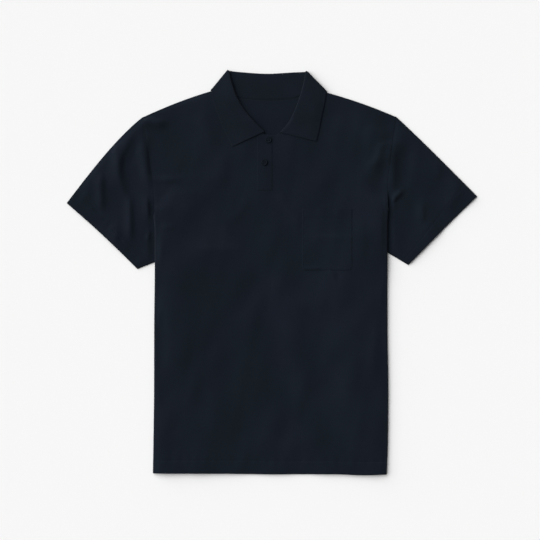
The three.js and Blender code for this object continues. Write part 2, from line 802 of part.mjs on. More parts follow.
addPiece("back_panel", clothWall(backGrid, cloth.wall), finishes.jersey);
addPiece("front_panel", clothWall(frontGrid, cloth.wall), finishes.jersey);
addPiece("sleeve_left", sleeveTube(sides.left, sleeves.left), finishes.jersey);
addPiece("sleeve_right", sleeveTube(sides.right, sleeves.right), finishes.jersey);
addPiece("placket_top", placketStrip(layer, 0), finishes.jersey);
addPiece("placket_under", placketStrip(-layer, 1), finishes.jersey);
addPiece("pocket", chestPocket(), finishes.jersey);
addPiece("collar", collarBand(), finishes.rib);
for (const place of buttons.places) addPiece(place.name, makeButton(place), finishes.button);

export default model;
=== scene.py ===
# Short-sleeved polo shirt laid flat on its back, both sides of the body folded under.
# Sizes are in millimetres until a mesh is made. Left and right are the wearer's, and left is at +X.
import math

import bpy
import numpy as np
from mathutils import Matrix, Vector


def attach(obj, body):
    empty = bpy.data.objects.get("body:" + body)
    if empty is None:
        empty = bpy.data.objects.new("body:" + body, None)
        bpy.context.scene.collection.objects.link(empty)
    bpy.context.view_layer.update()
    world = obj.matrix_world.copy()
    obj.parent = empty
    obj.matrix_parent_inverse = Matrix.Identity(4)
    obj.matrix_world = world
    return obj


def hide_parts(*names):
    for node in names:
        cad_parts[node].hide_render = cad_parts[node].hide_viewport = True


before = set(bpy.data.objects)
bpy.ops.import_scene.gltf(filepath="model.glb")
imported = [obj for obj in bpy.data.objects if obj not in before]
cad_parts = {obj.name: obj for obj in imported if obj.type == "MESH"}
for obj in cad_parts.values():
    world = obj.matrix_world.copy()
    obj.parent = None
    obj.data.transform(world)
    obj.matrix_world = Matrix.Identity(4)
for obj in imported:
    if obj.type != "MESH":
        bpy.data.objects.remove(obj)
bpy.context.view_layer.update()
print("frame loaded with", len(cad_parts), "nodes")

mm = 0.001

cloth = {
    "wall": 1.1,  # jersey
    "collarWall": 1.4,
    "onFront": 0.36,  # what is sewn on the front
    "pressed": 0.12,
    "pressedWidth": 2,
    "gap": 0.3,
    "air": 1.0,  # between front and back, away from the seams
    "slack": 0.4,  # more of it where the front turns round the back
}
layer = cloth["wall"] + cloth["gap"]
floorMid = cloth["wall"] / 2

body = {
    "middleX": -10, "firstNeck": 4 / 18, "lastNeck": 14 / 18,
    # The hem's edge, from the wearer's right to the left
    "hem": [(0, -371.2), (0.3, -371.8), (0.5, -373), (0.78, -372.8), (0.9, -374.5), (1, -373.4)],
}

sides = {
    "left": {
        "sign": 1,
        "neckPoint": (69.6, 340.4),
        "shoulderPoint": (229.7, 287.7),
        "shoulderRise": 4,
        "underarmY": 63.8,
        "hemY": -373.4,
        "visibleEdge": [(-372, 212.1), (-310, 214.3), (-220, 215.1), (-97, 213.4), (125, 213.6)],
        "armhole": [
            (63.8, 262), (74, 240), (89.7, 225), (107, 217), (124.9, 213.6), (161.9, 213.9), (226.6, 220.4),
            (287.7, 229.7),
        ],
        "crossingY": 124.9,
        "tuck": 46,
        "sleeveLeavesY": 36,
        "cuffTip": (379.5, 141),
        "cuffInner": (252.2, 13.9),
        "topBulge": 1.2,
        "cuffHollow": 0.8,
    },
    "right": {
        "sign": -1,
        "neckPoint": (90, 341.5),
        "shoulderPoint": (238.4, 287.1),
        "shoulderRise": 3.7,
        "underarmY": 43.5,
        "hemY": -371.2,
        "visibleEdge": [
            (-372, 219.9), (-310, 218.9), (-220, 217.8), (-97, 217.5), (20, 216.2), (112, 216.2),
        ],
        "armhole": [
            (43.5, 281), (54, 256), (70, 235), (90, 222), (111.9, 216.4), (161.9, 219), (226.6, 228.2),
            (287.1, 238.4),
        ],
        "crossingY": 111.9,
        "tuck": 63,
        "sleeveLeavesY": 19,
        "cuffTip": (379.5, 128.4),
        "cuffInner": (248.6, 6.5),
        "topBulge": 6.5,
        "cuffHollow": 2,
    },
}

# Neck edges from the wearer's right neck point to the left one
neckEdges = {
    "front": [
        (-90, 341.5), (-83, 318), (-69, 291), (-43, 265.5), (1, 254), (34, 265), (54, 291), (63.5, 317),
        (69.6, 340.4),
    ],
    "back": [(-90, 341.5), (-77, 329), (-58, 322), (-11, 318), (37, 321), (56, 328.5), (69.6, 340.4)],
}


def mix(a, b, t):
    return a + (b - a) * t


def smooth(start, end, at):
    t = np.clip((at - start) / (end - start), 0, 1)
    return t * t * (3 - 2 * t)


def bump(at, width):
    return np.exp(-((at / width) ** 2))


# A curve x(y) through the rows of a table that never overshoots them
def curveOfRows(rows):
    ys, xs = np.array(rows, float).T
    slope = np.diff(xs) / np.diff(ys)
    before, after = slope[:-1], slope[1:]
    total = np.where(before + after == 0, 1, before + after)
    inner = np.where(before * after > 0, 2 * before * after / total, 0)
    tangent = np.concatenate([slope[:1], inner, slope[-1:]])

    def at(y):
        y = np.clip(y, ys[0], ys[-1])
        i = np.clip(np.searchsorted(ys, y, side="right") - 1, 0, len(ys) - 2)
        span = ys[i + 1] - ys[i]
        t = (y - ys[i]) / span
        rise = xs[i + 1] - xs[i]
        start, end = tangent[i] * span, tangent[i + 1] * span
        return xs[i] + t * start + t * t * (3 * rise - 2 * start - end) + t ** 3 * (start + end - 2 * rise)

    return at


# A smooth curve through points, from 0 at the first to 1 at the last
def splineThrough(points):
    pts = np.array(points, float)
    last = len(pts) - 1

    def at(t):
        place = np.clip(np.asarray(t, float), 0, 1) * last
        i = np.minimum(place.astype(int), last - 1)
        w = (place - i)[..., None]
        p0, p1, p2, p3 = pts[np.maximum(i - 1, 0)], pts[i], pts[i + 1], pts[np.minimum(i + 2, last)]
        v0, v1 = (p2 - p0) / 2, (p3 - p1) / 2
        return p1 + w * v0 + w ** 2 * (3 * (p2 - p1) - 2 * v0 - v1) + w ** 3 * (2 * (p1 - p2) + v0 + v1)

    return at


# How far each point of a line is along it
def lengthsAlong(line):
    return np.concatenate([[0], np.cumsum(np.linalg.norm(np.diff(line, axis=0), axis=1))])


# The same curve, walked at an even pace
def evenSpline(points, steps=400):
    curve = splineThrough(points)
    t = np.linspace(0, 1, steps + 1)
    length = lengthsAlong(curve(t))
    return lambda part: curve(np.interp(np.asarray(part, float) * length[-1], length, t))


for side in sides.values():
    side["edgeX"] = curveOfRows(side["visibleEdge"])
    side["armholeX"] = curveOfRows(side["armhole"])


# Large soft folds: middle, length, angle from +X, width and height
largeFolds = [
    (-284, 205, 170, 103, 8, 2.6),
    (-262, 105, 100, 90, 7, 1.8),
    (-316, 148, 80, 90, 8, 1.8),
    (-340, 150, 70, 75, 14, 1.6),
    (-222, 277, 70, 174, 7, 1.6),
    (-237, 205, 100, 98, 8, 1.8),
    (-205, 171, 70, 176, 7, 1.3),
    (-120, 174, 110, 178, 12, 1.1),
    (208, 214, 120, 47, 14, 3),
    (222, 188, 110, 93, 12, 2.2),
    (229, 140, 50, 42, 5, 2.4),
    (276, 112, 60, 95, 9, 1.3),
    (290, 100, 90, 100, 14, 1.2),
    (330, 150, 90, 48, 16, 1.3),
    (-170, -90, 260, 88, 22, 1.4),
    (150, -220, 240, 92, 26, 1.4),
    (-60, -200, 220, 84, 30, 1.2),
]

# Creases: the line that each follows, its width, its height (below 0 is a trough) and how far it leans
creases = [
    ([(-246, 272), (-270, 236), (-284, 195), (-280, 158), (-264, 130)], 11, 3.2, -0.35),
    ([(-266, 150), (-262, 100), (-261, 46)], 8, 1.6, -0.3),
    ([(-244, 250), (-256, 215), (-260, 190)], 7, -1, 0),
    ([(-232, 262), (-232, 206), (-229, 180), (-219, 150)], 8, 1.8, -0.35),
    ([(-316, 196), (-316, 150), (-312, 104)], 9, 1.7, -0.3),
    ([(-250, 283), (-222, 279), (-190, 275)], 9, 2.4, -0.35),
    ([(-212, 176), (-186, 173), (-158, 174)], 5, 1, -0.3),
    ([(-218, 82), (-227, 66), (-229, 54)], 4, 1.2, -0.3),
    ([(-232, 146), (-230, 118), (-226, 92)], 6, 1.3, -0.3),
    ([(50, 9.5), (72, 8.5), (98, 9.5)], 3, 0.9, -0.3),
    ([(-292, 95), (-288, 70), (-296, 48)], 10, 0.9, -0.2),
    ([(-340, 128), (-330, 104), (-334, 88)], 12, 0.8, -0.2),
    ([(-206, 86), (-190, 84), (-176, 87)], 5, 0.8, -0.2),
    ([(165, 262), (196, 256), (222, 244)], 20, 2.4, -0.35),
    ([(234, 238), (203, 234), (193, 208), (172, 191)], 7, 2, 0.35),
    ([(218, 124), (230, 140), (244, 150)], 5, 1.5, 0.3),
    ([(224, 232), (222, 190), (218, 146)], 10, 1.5, -0.2),
    ([(250, 240), (246, 192), (240, 152)], 12, -1.5, 0),
    ([(204, 124), (222, 125), (236, 124)], 5, 1.4, -0.3),
    ([(279, 130), (278, 112), (279, 92)], 8, 1.1, -0.3),
    ([(300, 210), (308, 190), (304, 168)], 8, 0.8, -0.2),
    ([(348, 152), (332, 134), (318, 112)], 10, 1, 0.2),
    ([(-190, 140), (-150, 148), (-96, 140)], 11, 0.7, 0.2),
    ([(-206, -66), (-210, -84), (-207, -100)], 4, 1, 0),
    ([(102, 2), (112, -6), (118, -16)], 4, 0.9, 0.2),
    ([(118, 2), (122, -5), (128, -11)], 3, -0.6, 0),
    ([(40, 130), (48, 90), (44, 40)], 10, 0.7, 0.2),
    ([(160, 110), (168, 60), (164, 10)], 10, 0.7, -0.2),
    ([(-40, 150), (-60, 110), (-90, 92)], 10, 0.8, 0.1),
    ([(6, 148), (26, 128), (38, 98)], 9, 0.7, 0.1),
    ([(-140, 60), (-100, 40), (-40, 46)], 18, 0.9, 0.2),
    ([(-196, -20), (-188, -120), (-194, -210)], 14, 1, 0.2),
    ([(196, -40), (188, -130), (193, -240)], 14, 1, -0.2),
    ([(-120, -180), (-104, -250), (-112, -330)], 20, 1.1, 0.2),
    ([(40, -120), (54, -200), (46, -300)], 22, 1, 0.1),
    ([(110, -40), (60, -64), (-10, -58)], 22, 0.9, 0.1),
    ([(-150, 300), (-120, 262), (-104, 214)], 14, 1, 0.2),
    ([(140, 302), (122, 262), (112, 214)], 14, 0.9, 0.2),
    ([(-60, -90), (-84, -150), (-70, -220)], 20, -0.9, 0.1),
    ([(120, -280), (70, -310), (0, -316)], 20, 0.9, 0.1),
]

# Faint waves all over the cloth: direction in degrees, length of a wave, height, start
ripples = [
    (12, 97, 0.42, 0.4), (76, 131, 0.5, 2.1), (141, 73, 0.3, 4.0), (52, 47, 0.14, 1.2), (168, 39, 0.1, 5.1),
]

relief = {
    "fadeFrom": 0.35,  # a fold fades from here to its end, as a share of its half length
    "creaseSteps": 16, "creaseReach": 3, "sway": 0.8, "swayWaves": 2.7,
    "creases": 1.35, "ripples": 1.5, "lowest": -0.8, "lift": 0.8, "soft": 2.5,
}
creaseLines = [evenSpline(path)(np.linspace(0, 1, relief["creaseSteps"] + 1)) for path, *_ in creases]


def foldHeight(x, y):
    height = np.zeros(np.shape(x))
    for middleX, middleY, length, degrees, width, rise in largeFolds:
        angle = math.radians(degrees)
        along = (x - middleX) * math.cos(angle) + (y - middleY) * math.sin(angle)
        across = (y - middleY) * math.cos(angle) - (x - middleX) * math.sin(angle)
        taper = 1 - smooth(relief["fadeFrom"], 1, np.abs(along) / (length / 2))
        height += rise * taper * bump(across, width)
    return height


# How far each point is from a line, on which side of it, and how far along it
def placeOnLine(x, y, line):
    best = np.full(np.shape(x), np.inf)
    sideOf, place = np.zeros(np.shape(x)), np.zeros(np.shape(x))
    for k, (a, b) in enumerate(zip(line[:-1], line[1:])):
        step = b - a
        t = np.clip(((x - a[0]) * step[0] + (y - a[1]) * step[1]) / (step @ step), 0, 1)
        dx, dy = x - a[0] - t * step[0], y - a[1] - t * step[1]
        closer = dx * dx + dy * dy < best
        best = np.where(closer, dx * dx + dy * dy, best)
        sideOf = np.where(closer, np.sign(step[0] * dy - step[1] * dx), sideOf)
        place = np.where(closer, (k + t) / (len(line) - 1), place)
    return np.sqrt(best), sideOf, place


def creaseHeight(x, y):
    height = np.zeros(np.shape(x))
    for line, (_, width, rise, lean) in zip(creaseLines, creases):
        reach = relief["creaseReach"] * width
        low, high = line.min(axis=0) - reach, line.max(axis=0) + reach
        near = (x > low[0]) & (x < high[0]) & (y > low[1]) & (y < high[1])
        if near.any():
            away, sideOf, place = placeOnLine(x[near], y[near], line)
            taper = smooth(0, relief["fadeFrom"], place) * smooth(0, relief["fadeFrom"], 1 - place)
            height[near] += rise * taper * bump(away, width * (1 + lean * sideOf))
    return height


def rippleHeight(x, y):
    height = np.zeros(np.shape(x))
    for degrees, wave, rise, start in ripples:
        angle = math.radians(degrees)
        phase = (x * math.cos(angle) + y * math.sin(angle)) * 2 * math.pi / wave
        height += rise * np.sin(phase + start + relief["sway"] * np.sin(phase / relief["swayWaves"]))
    return height


# All of it together, never lower than the cloth below allows
def clothRelief(x, y):
    height = foldHeight(x, y) + relief["creases"] * creaseHeight(x, y)
    height = height + relief["ripples"] * rippleHeight(x, y)
    above = np.logaddexp(0, relief["soft"] * (height + relief["lift"] - relief["lowest"])) / relief["soft"]
    return above + relief["lowest"]


# Heights of the body's layers
turnRadius = {"back": layer / 2, "middle": layer, "front": 1.5 * layer + cloth["slack"]}
lay = {
    "sleeveRoom": 2 * layer + cloth["gap"],  # the flat sleeve under the folded side
    "sideRise": 30,
    "sideFall": 80,
    "innerRise": 90,  # longer and softer away from the edge
    "innerReach": 70,
    "rampStart": 4,
    "rampWidth": 105,
    "openingBelow": 34,
    "openingAbove": 4,
    "flatFrom": 4,
    "flatTo": 28,
    "flatReach": 40,
    "airEase": 24,
    "foldEase": 9,
    "runsOnFrom": 4,
    "runsOnTo": 26,
    "seamShows": 14,
    "farIn": 100,  # past every seam's reach
    "leafY": 313,
    "leafStart": 58,
    "leafEnd": 14,
    "leafBow": 0.0019,
    "leafRise": cloth["collarWall"] + 0.7,
    "leafHalf": 112,
    "leafFade": 42,
}
placket = {
    "middleX": -12.7, "width": 28, "topY": 252.8, "bottomY": 151, "clear": 0.04, "rows": 70, "columns": 22,
    "rise": 0.7, "roomBeside": 14, "fadeBeside": 36, "roomBelow": 16, "fadeBelow": 50,
    "sewnIn": 2.2, "pressedBy": 0.1, "pressWidth": 0.9,
}


# A rise is longer, and so softer, away from the side's edge
def softened(length, inward):
    return length + lay["innerRise"] * smooth(0, lay["innerReach"], inward)


def aboveCrossing(side, y, inward=0):
    return smooth(side["crossingY"], side["crossingY"] + softened(lay["sideRise"], inward), y)


# Above the crossing the folds run on across the armhole, and its seam shows
def runsOn(side, y):
    return smooth(side["crossingY"] + lay["runsOnFrom"], side["crossingY"] + lay["runsOnTo"], y)


def seamShows(side, y):
    return smooth(side["crossingY"], side["crossingY"] + lay["seamShows"], y)


def foldStart(side, y):
    turn = turnRadius["front"] + cloth["wall"] / 2
    crossing = side["crossingY"]
    opening = turn * smooth(crossing - lay["openingBelow"], crossing + lay["openingAbove"], y)
    above = smooth(crossing + lay["flatFrom"], crossing + lay["flatTo"], y)
    return side["edgeX"](y) - turn + opening + lay["flatReach"] * above


def sleeveUnder(side, y, inward=0):
    leaves = side["sleeveLeavesY"]
    under = smooth(leaves - softened(lay["sideFall"], inward), leaves, y)
    return (1 - aboveCrossing(side, y, inward)) * under


def sideLift(side, x, y):
    turnedUnder = np.maximum(lay["rampStart"], side["armholeX"](y) - side["edgeX"](y))
    hidden = np.where(y > side["underarmY"], turnedUnder, side["tuck"])
    inward = side["edgeX"](y) - x - np.minimum(hidden, side["tuck"]) - lay["rampStart"]
    strips = 2 * layer + cloth["slack"]
    full = strips * (1 - aboveCrossing(side, y, inward)) + lay["sleeveRoom"] * sleeveUnder(side, y, inward)
    return full * (1 - smooth(0, lay["rampWidth"], inward))


def collarLift(x, y):
    fromMiddle = np.abs(x - body["middleX"])
    leafEdge = lay["leafY"] + lay["leafBow"] * fromMiddle ** 2
    across = 1 - smooth(lay["leafHalf"], lay["leafHalf"] + lay["leafFade"], fromMiddle)
    return lay["leafRise"] * smooth(leafEdge - lay["leafStart"], leafEdge - lay["leafEnd"], y) * across


def backHeight(x, y):
    left, right = sideLift(sides["left"], np.abs(x), y), sideLift(sides["right"], np.abs(x), y)
    return floorMid + np.where(x > 0, left, right) + collarLift(x, y)


def placketRoom(x, y):
    edge = placket["width"] / 2 + placket["roomBeside"]
    across = 1 - smooth(edge, edge + placket["fadeBeside"], np.abs(x - placket["middleX"]))
    bottom = placket["bottomY"]
    return placket["rise"] * across * smooth(bottom - placket["fadeBelow"], bottom - placket["roomBelow"], y)


# Folds stop short of the edge where the side turns under
def foldShare(side, y, fromEdge):
    return np.maximum(smooth(0, lay["foldEase"], fromEdge), runsOn(side, y))


def frontHeight(x, y, fromSeam, share=1):
    air = mix(cloth["slack"], cloth["air"], smooth(0, lay["airEase"], fromSeam))
    return backHeight(x, y) + layer + air + placketRoom(x, y) + clothRelief(x, y) * share


# The front away from its seams, for what is sewn on it
def frontTop(x, y):
    return frontHeight(x, y, lay["farIn"])


# A seam's own form: the edge rolls down, and the turned allowance lifts a soft band beside it
seam = {
    "roll": 0.1, "rollWidth": 1.4, "band": 0.1, "bandAt": 4.5, "bandWidth": 2.6,
    "pucker": 0.07, "puckerReach": 5, "wave": 2.1, "sway": 1.3, "swayWave": 9.7,
}


# An uneven row of small waves
def unevenWave(along, sizes):
    return np.sin(along / sizes["wave"] + sizes["sway"] * np.sin(along / sizes["swayWave"]))


def seamShape(fromSeam, along):
    puckers = unevenWave(along, seam) * np.exp(-np.maximum(fromSeam, 0) / seam["puckerReach"])
    rolled = -seam["roll"] * bump(fromSeam, seam["rollWidth"])
    band = seam["band"] * bump(fromSeam - seam["bandAt"], seam["bandWidth"])
    return rolled + band + seam["pucker"] * puckers


clothEdge = {"inset": 0.6, "mostInset": 0.4, "turns": (45, 90, 135), "bulge": 0.6}


def unit(vectors):
    return vectors / np.maximum(np.linalg.norm(vectors, axis=-1, keepdims=True), 1e-9)


# Cloth of a given wall round a grid of middle points, rows by columns, with soft round edges.
# The knit attribute holds each point's place along the cloth, for the weave.
def makeCloth(name, grid, wall, tube=False):
    rowCount, columnCount = grid.shape[:2]
    half = np.broadcast_to(np.asarray(wall, float) / 2, (rowCount, columnCount))[..., None]
    if tube:
        along = np.roll(grid, -1, axis=1) - np.roll(grid, 1, axis=1)
    else:
        padded = np.concatenate([grid[:, :1], grid, grid[:, -1:]], axis=1)
        along = padded[:, 2:] - padded[:, :-2]
    tall = np.concatenate([grid[:1], grid, grid[-1:]], axis=0)
    down = tall[2:] - tall[:-2]
    normal = unit(np.cross(down, along))

    outward, moves = np.zeros_like(grid), np.zeros_like(grid)
    edges = [(np.s_[0, :], np.s_[1, :]), (np.s_[-1, :], np.s_[-2, :])]
    if not tube:
        edges += [(np.s_[:, 0], np.s_[:, 1]), (np.s_[:, -1], np.s_[:, -2])]
    for edge, inner in edges:
        way = grid[edge] - grid[inner]
        space = np.linalg.norm(way, axis=-1, keepdims=True)
        outward[edge] += unit(way)
        moves[edge] -= unit(way) * np.minimum(clothEdge["inset"] * half[edge], clothEdge["mostInset"] * space)
    outward = unit(outward)
    grid = grid + moves

    total = rowCount * columnCount
    index = np.arange(total).reshape(rowCount, columnCount)
    points = [(grid + normal * half).reshape(-1, 3), (grid - normal * half).reshape(-1, 3)]
    right = np.roll(index, -1, axis=1) if tube else index[:, 1:]
    here = index if tube else index[:, :-1]
    top = np.stack([here[:-1], here[1:], right[1:], right[:-1]], axis=-1).reshape(-1, 4)
    faces = [top, top[:, ::-1] + total]

    if tube:
        loops = [index[0], index[-1][::-1]]
    else:
        loops = [np.concatenate([index[0, :], index[1:, -1], index[-1, -2::-1], index[-2:0:-1, 0]])]
    knitIndex = [np.arange(total), np.arange(total)]
    start = 2 * total
    for loop in loops:
        rings = [loop]
        middle, up, out = (values.reshape(-1, 3)[loop] for values in (grid, normal, outward))
        for degrees in clothEdge["turns"]:
            turn = math.radians(degrees)
            reach = up * math.cos(turn) + clothEdge["bulge"] * out * math.sin(turn)
            points.append(middle + reach * half.reshape(-1, 1)[loop])
            rings.append(np.arange(start, start + len(loop)))
            knitIndex.append(loop)
            start += len(loop)
        rings.append(loop + total)
        for a, b in zip(rings[:-1], rings[1:]):
            faces.append(np.stack([a, np.roll(a, -1), np.roll(b, -1), b], axis=-1))

    stepRight = np.linalg.norm(np.diff(grid, axis=1), axis=2)
    stepDown = np.linalg.norm(np.diff(grid, axis=0), axis=2)
    acrossLength = np.concatenate([np.zeros((rowCount, 1)), np.cumsum(stepRight, axis=1)], axis=1)
    acrossLength -= acrossLength[:, columnCount // 2, None]
    downLength = np.concatenate([np.zeros((1, columnCount)), np.cumsum(stepDown, axis=0)], axis=0)
    knit = np.stack([acrossLength, downLength, 0 * downLength], axis=-1).reshape(-1, 3)
    knit = knit[np.concatenate(knitIndex)]

    points = np.concatenate(points)
    points[:, 2] = np.maximum(points[:, 2], 0)  # the floor
    made = makeMesh(name, points, np.concatenate(faces))
    attribute = made.data.attributes.new("knit", "FLOAT_VECTOR", "POINT")
    attribute.data.foreach_set("vector", (knit * mm).astype(np.float32).ravel())
    return made


def makeMesh(name, points, faces):
    mesh = bpy.data.meshes.new(name)
    faces = faces.tolist() if isinstance(faces, np.ndarray) else faces
    mesh.from_pydata((np.asarray(points, float) * mm).tolist(), [], faces)
    mesh.validate()
    mesh.shade_smooth()
    made = bpy.data.objects.new(name, mesh)
    bpy.context.scene.collection.objects.link(made)
    return made


# Body panels
panels = {
    "frontMain": 140, "backMain": 84, "turn": 8, "strip": 10,
    "frontRows": 76, "frontLower": 112, "backRows": 48, "backLower": 70,
    "hemRows": 30, "turnLead": 4.5, "stripLead": 1.4, "neckShare": 0.6,
    "armholeHeight": 240, "lowerHeight": 430, "hemHeight": 34,  # what the rows are shared out by
}
nearSeam = np.array([0, 1, 2, 3.2, 4.6, 6.4, 8.6])  # rows are closer beside a seam
evenRowsFrom = 11.2


def rowPlaces(armholeRows, lowerRows):
    height = panels["armholeHeight"]
    upper = np.concatenate([nearSeam / height, np.linspace(evenRowsFrom / height, 1, armholeRows)])
    hemShare = panels["hemHeight"] / panels["lowerHeight"]
    lower = np.linspace(0, 1 - hemShare, lowerRows)[1:]
    inHem = np.linspace(1 - hemShare, 1, panels["hemRows"] + 1)[1:]
    v = np.concatenate([upper, np.ones(len(lower) + len(inHem))])
    return v, np.concatenate([np.zeros(len(upper)), lower, inHem])


def sideDistances(side, y):
    start = foldStart(side, y)
    turnLength = math.pi * turnRadius["middle"]
    end = np.where(y <= side["underarmY"], start + turnLength + side["tuck"], side["armholeX"](y))
    turnStart = np.minimum(start, end - panels["turnLead"])
    turnEnd = np.minimum(start + turnLength, end - panels["stripLead"])
    turn = mix(turnStart[:, None], turnEnd[:, None], np.linspace(0, 1, panels["turn"] + 1))
    strip = mix(turnEnd[:, None], end[:, None], np.linspace(0, 1, panels["strip"] + 1)[1:])
    return np.concatenate([turn, strip], axis=1)


def sidePoints(side, v, y, isFront):
    distance = sideDistances(side, y)
    (outX, outY), (inX, inY) = side["shoulderPoint"], side["neckPoint"]
    slope = (outY - inY) / (outX - inX)
    y = y[:, None] + slope * (distance - distance[:, -1:]) * (1 - v[:, None])
    start = foldStart(side, y)
    seamX = side["armholeX"](np.maximum(y, side["crossingY"]))
    fromSeam = np.maximum(0, np.minimum(start, seamX) - distance)
    x = side["sign"] * distance
    fromShoulder = outY - slope * (outX - distance) - y
    share = foldShare(side, y, fromSeam) * smooth(0, lay["foldEase"], fromShoulder)
    flat = frontHeight(x, y, fromSeam, share) if isFront else backHeight(x, y)
    flat = flat + seamShape(seamX - distance, y) * seamShows(side, y)
    radius = turnRadius["front" if isFront else "back"]
    stripZ = floorMid + lay["sleeveRoom"] * sleeveUnder(side, y) + (0 if isFront else layer + cloth["slack"])
    angle = np.clip((distance - start) / turnRadius["middle"], 0, math.pi)
    past = np.maximum(0, distance - start - math.pi * turnRadius["middle"])
    turnX = side["sign"] * (start + radius * np.sin(angle) - past)
    turnZ = stripZ + radius + radius * np.cos(angle)
    isFlat = distance <= start
    return np.stack([np.where(isFlat, x, turnX), y, np.where(isFlat, flat, turnZ)], axis=-1)


def topEdge(u, neckCurve):
    def shoulder(side, t):
        (outX, outY), (inX, inY) = side["shoulderPoint"], side["neckPoint"]
        t = mix(panels["turnLead"] / (outX - inX), 1, t)
        rise = side["shoulderRise"] * np.sin(math.pi * t)
        return np.stack([side["sign"] * mix(outX, inX, t), mix(outY, inY, t) + rise], axis=-1)

    first, last = body["firstNeck"], body["lastNeck"]
    right = shoulder(sides["right"], np.clip(u / first, 0, 1))
    left = shoulder(sides["left"], np.clip((1 - u) / (1 - last), 0, 1))
    middle = neckCurve((u - first) / (last - first))
    u = u[:, None]
    return np.where(u < first, right, np.where(u > last, left, middle))


def bodyGrid(isFront):
    kind = "front" if isFront else "back"
    v, lower = rowPlaces(panels[kind + "Rows"], panels[kind + "Lower"])
    ends = {}
    for name, side in sides.items():
        y = mix(mix(side["shoulderPoint"][1], side["underarmY"], v), side["hemY"], lower)
        ends[name] = sidePoints(side, v, y, isFront)
    rightX, leftX = ends["right"][:, 0, 0], ends["left"][:, 0, 0]
    main = panels[kind + "Main"]
    u = np.arange(1, main) / main
    top = topEdge(u, evenSpline(neckEdges[kind]))
    topPart = (top[:, 0] - rightX[0]) / (leftX[0] - rightX[0])
    part = mix(topPart[None], u[None], smooth(0, 1, v)[:, None])
    x = mix(rightX[:, None], leftX[:, None], part)
    underarmY = mix(sides["right"]["underarmY"], sides["left"]["underarmY"], u)
    hemY = curveOfRows(body["hem"])(u)
    y = mix(mix(top[None, :, 1], underarmY[None], v[:, None]), hemY[None], lower[:, None])
    isShoulder = (u <= body["firstNeck"]) | (u >= body["lastNeck"])
    fromTop = top[None, :, 1] - y
    fromShoulder = np.where(isShoulder, fromTop, lay["farIn"])
    fromRight, fromLeft = x - rightX[:, None], leftX[:, None] - x
    fromSeam = np.minimum(np.minimum(fromRight, fromLeft), fromShoulder)
    share = foldShare(sides["right"], y, fromRight) * foldShare(sides["left"], y, fromLeft)
    if isFront:
        z = frontHeight(x, y, np.maximum(fromSeam, 0), share * smooth(0, lay["foldEase"], fromShoulder))
    else:
        z = backHeight(x, y)
    for side in sides.values():
        edge = side["armholeX"](np.maximum(y, side["crossingY"])) - side["sign"] * x
        z = z + seamShape(edge, y) * seamShows(side, y)
    z = z + seamShape(fromTop, x) * np.where(isShoulder, 1, panels["neckShare"])
    middle = np.stack([x, y, z], axis=-1)
    return np.concatenate([ends["right"][:, ::-1], middle, ends["left"]], axis=1)


# The hem is turned up inside: a soft groove under its stitches, a little more body below them
hem = {
    "y": 24.5, "groove": 0.3, "grooveWidth": 1.3, "fuller": 0.5, "fullerEase": 6, "fullerEnd": (2, 0.5),
    "pucker": 0.22, "puckerReach": 9, "wave": 3.3, "sway": 1.7, "swayWave": 23,
}


def addHem(grid):
    above = grid[..., 1] - grid[-1, :, 1]
    groove = -hem["groove"] * bump(above - hem["y"], hem["grooveWidth"])
    puckers = hem["pucker"] * unevenWave(grid[..., 0], hem) * bump(above - hem["y"], hem["puckerReach"])
    fadeStart, fadeEnd = (hem["y"] - below for below in hem["fullerEnd"])
    fuller = hem["fuller"] * (1 - smooth(fadeStart, fadeEnd, above)) * smooth(0, hem["fullerEase"], above)
    grid[..., 2] += groove + puckers + fuller
    return grid


frontGrid, backGrid = addHem(bodyGrid(True)), bodyGrid(False)
print("body panels:", frontGrid.shape, backGrid.shape)
frontPanel = makeCloth("frontPanel", frontGrid, cloth["wall"])
backPanel = makeCloth("backPanel", backGrid, cloth["wall"])


# Sleeves
sleeveSizes = {
    "across": 64, "bottom": 22, "turn": 5, "along": 44, "hemRows": 24, "hemWidth": 24, "hemPast": 8,
    "seamStep": 0.12, "air": 0.8, "bodyEase": 10, "edgeEase": 0.05, "seamEase": 0.06, "bulgePower": 0.75,
    "underBody": 9,  # closes the fold's upper end from below
    "underFrom": -2, "underTo": 7, "middle": 0.4, "turnAim": 1 / 11, "seamLength": 200,
}
# The cuff's puckers, along the share of the way round
cuff = {"wave": 1 / 62, "sway": 1.7, "swayWave": 1 / 13, "puckerReach": 8, "puckerEase": 0.06}


def sleevePlan(side):
    def seamPoint(t):
        y = mix(side["shoulderPoint"][1], side["underarmY"], t)
        past = np.maximum(0, side["armholeX"](y) - side["edgeX"](y))
        below = smooth(sleeveSizes["underFrom"], sleeveSizes["underTo"], side["crossingY"] - y)
        past = np.maximum(past, sleeveSizes["underBody"] * below)
        x = np.where(y < side["crossingY"], side["edgeX"](y) - past, side["armholeX"](y))
        return np.stack([x + sleeveSizes["seamStep"], y], axis=-1)

    tip, inner = np.array(side["cuffTip"], float), np.array(side["cuffInner"], float)
    outward, cuffWay = unit(tip - seamPoint(np.array(0.0))), unit(tip - inner)
    upward, inward = (np.array([-way[1], way[0]]) for way in (outward, cuffWay))

    def plan(t, w):
        t, w = np.broadcast_arrays(np.asarray(t, float), np.asarray(w, float))
        bulge = side["topBulge"] * np.sin(math.pi * w ** sleeveSizes["bulgePower"]) * (1 - t) ** 2
        hollow = side["cuffHollow"] * np.sin(math.pi * t) * w * w
        outline = mix(seamPoint(t), mix(tip, inner, t[..., None]), w[..., None])
        return outline + upward * bulge[..., None] + inward * hollow[..., None]

    return plan


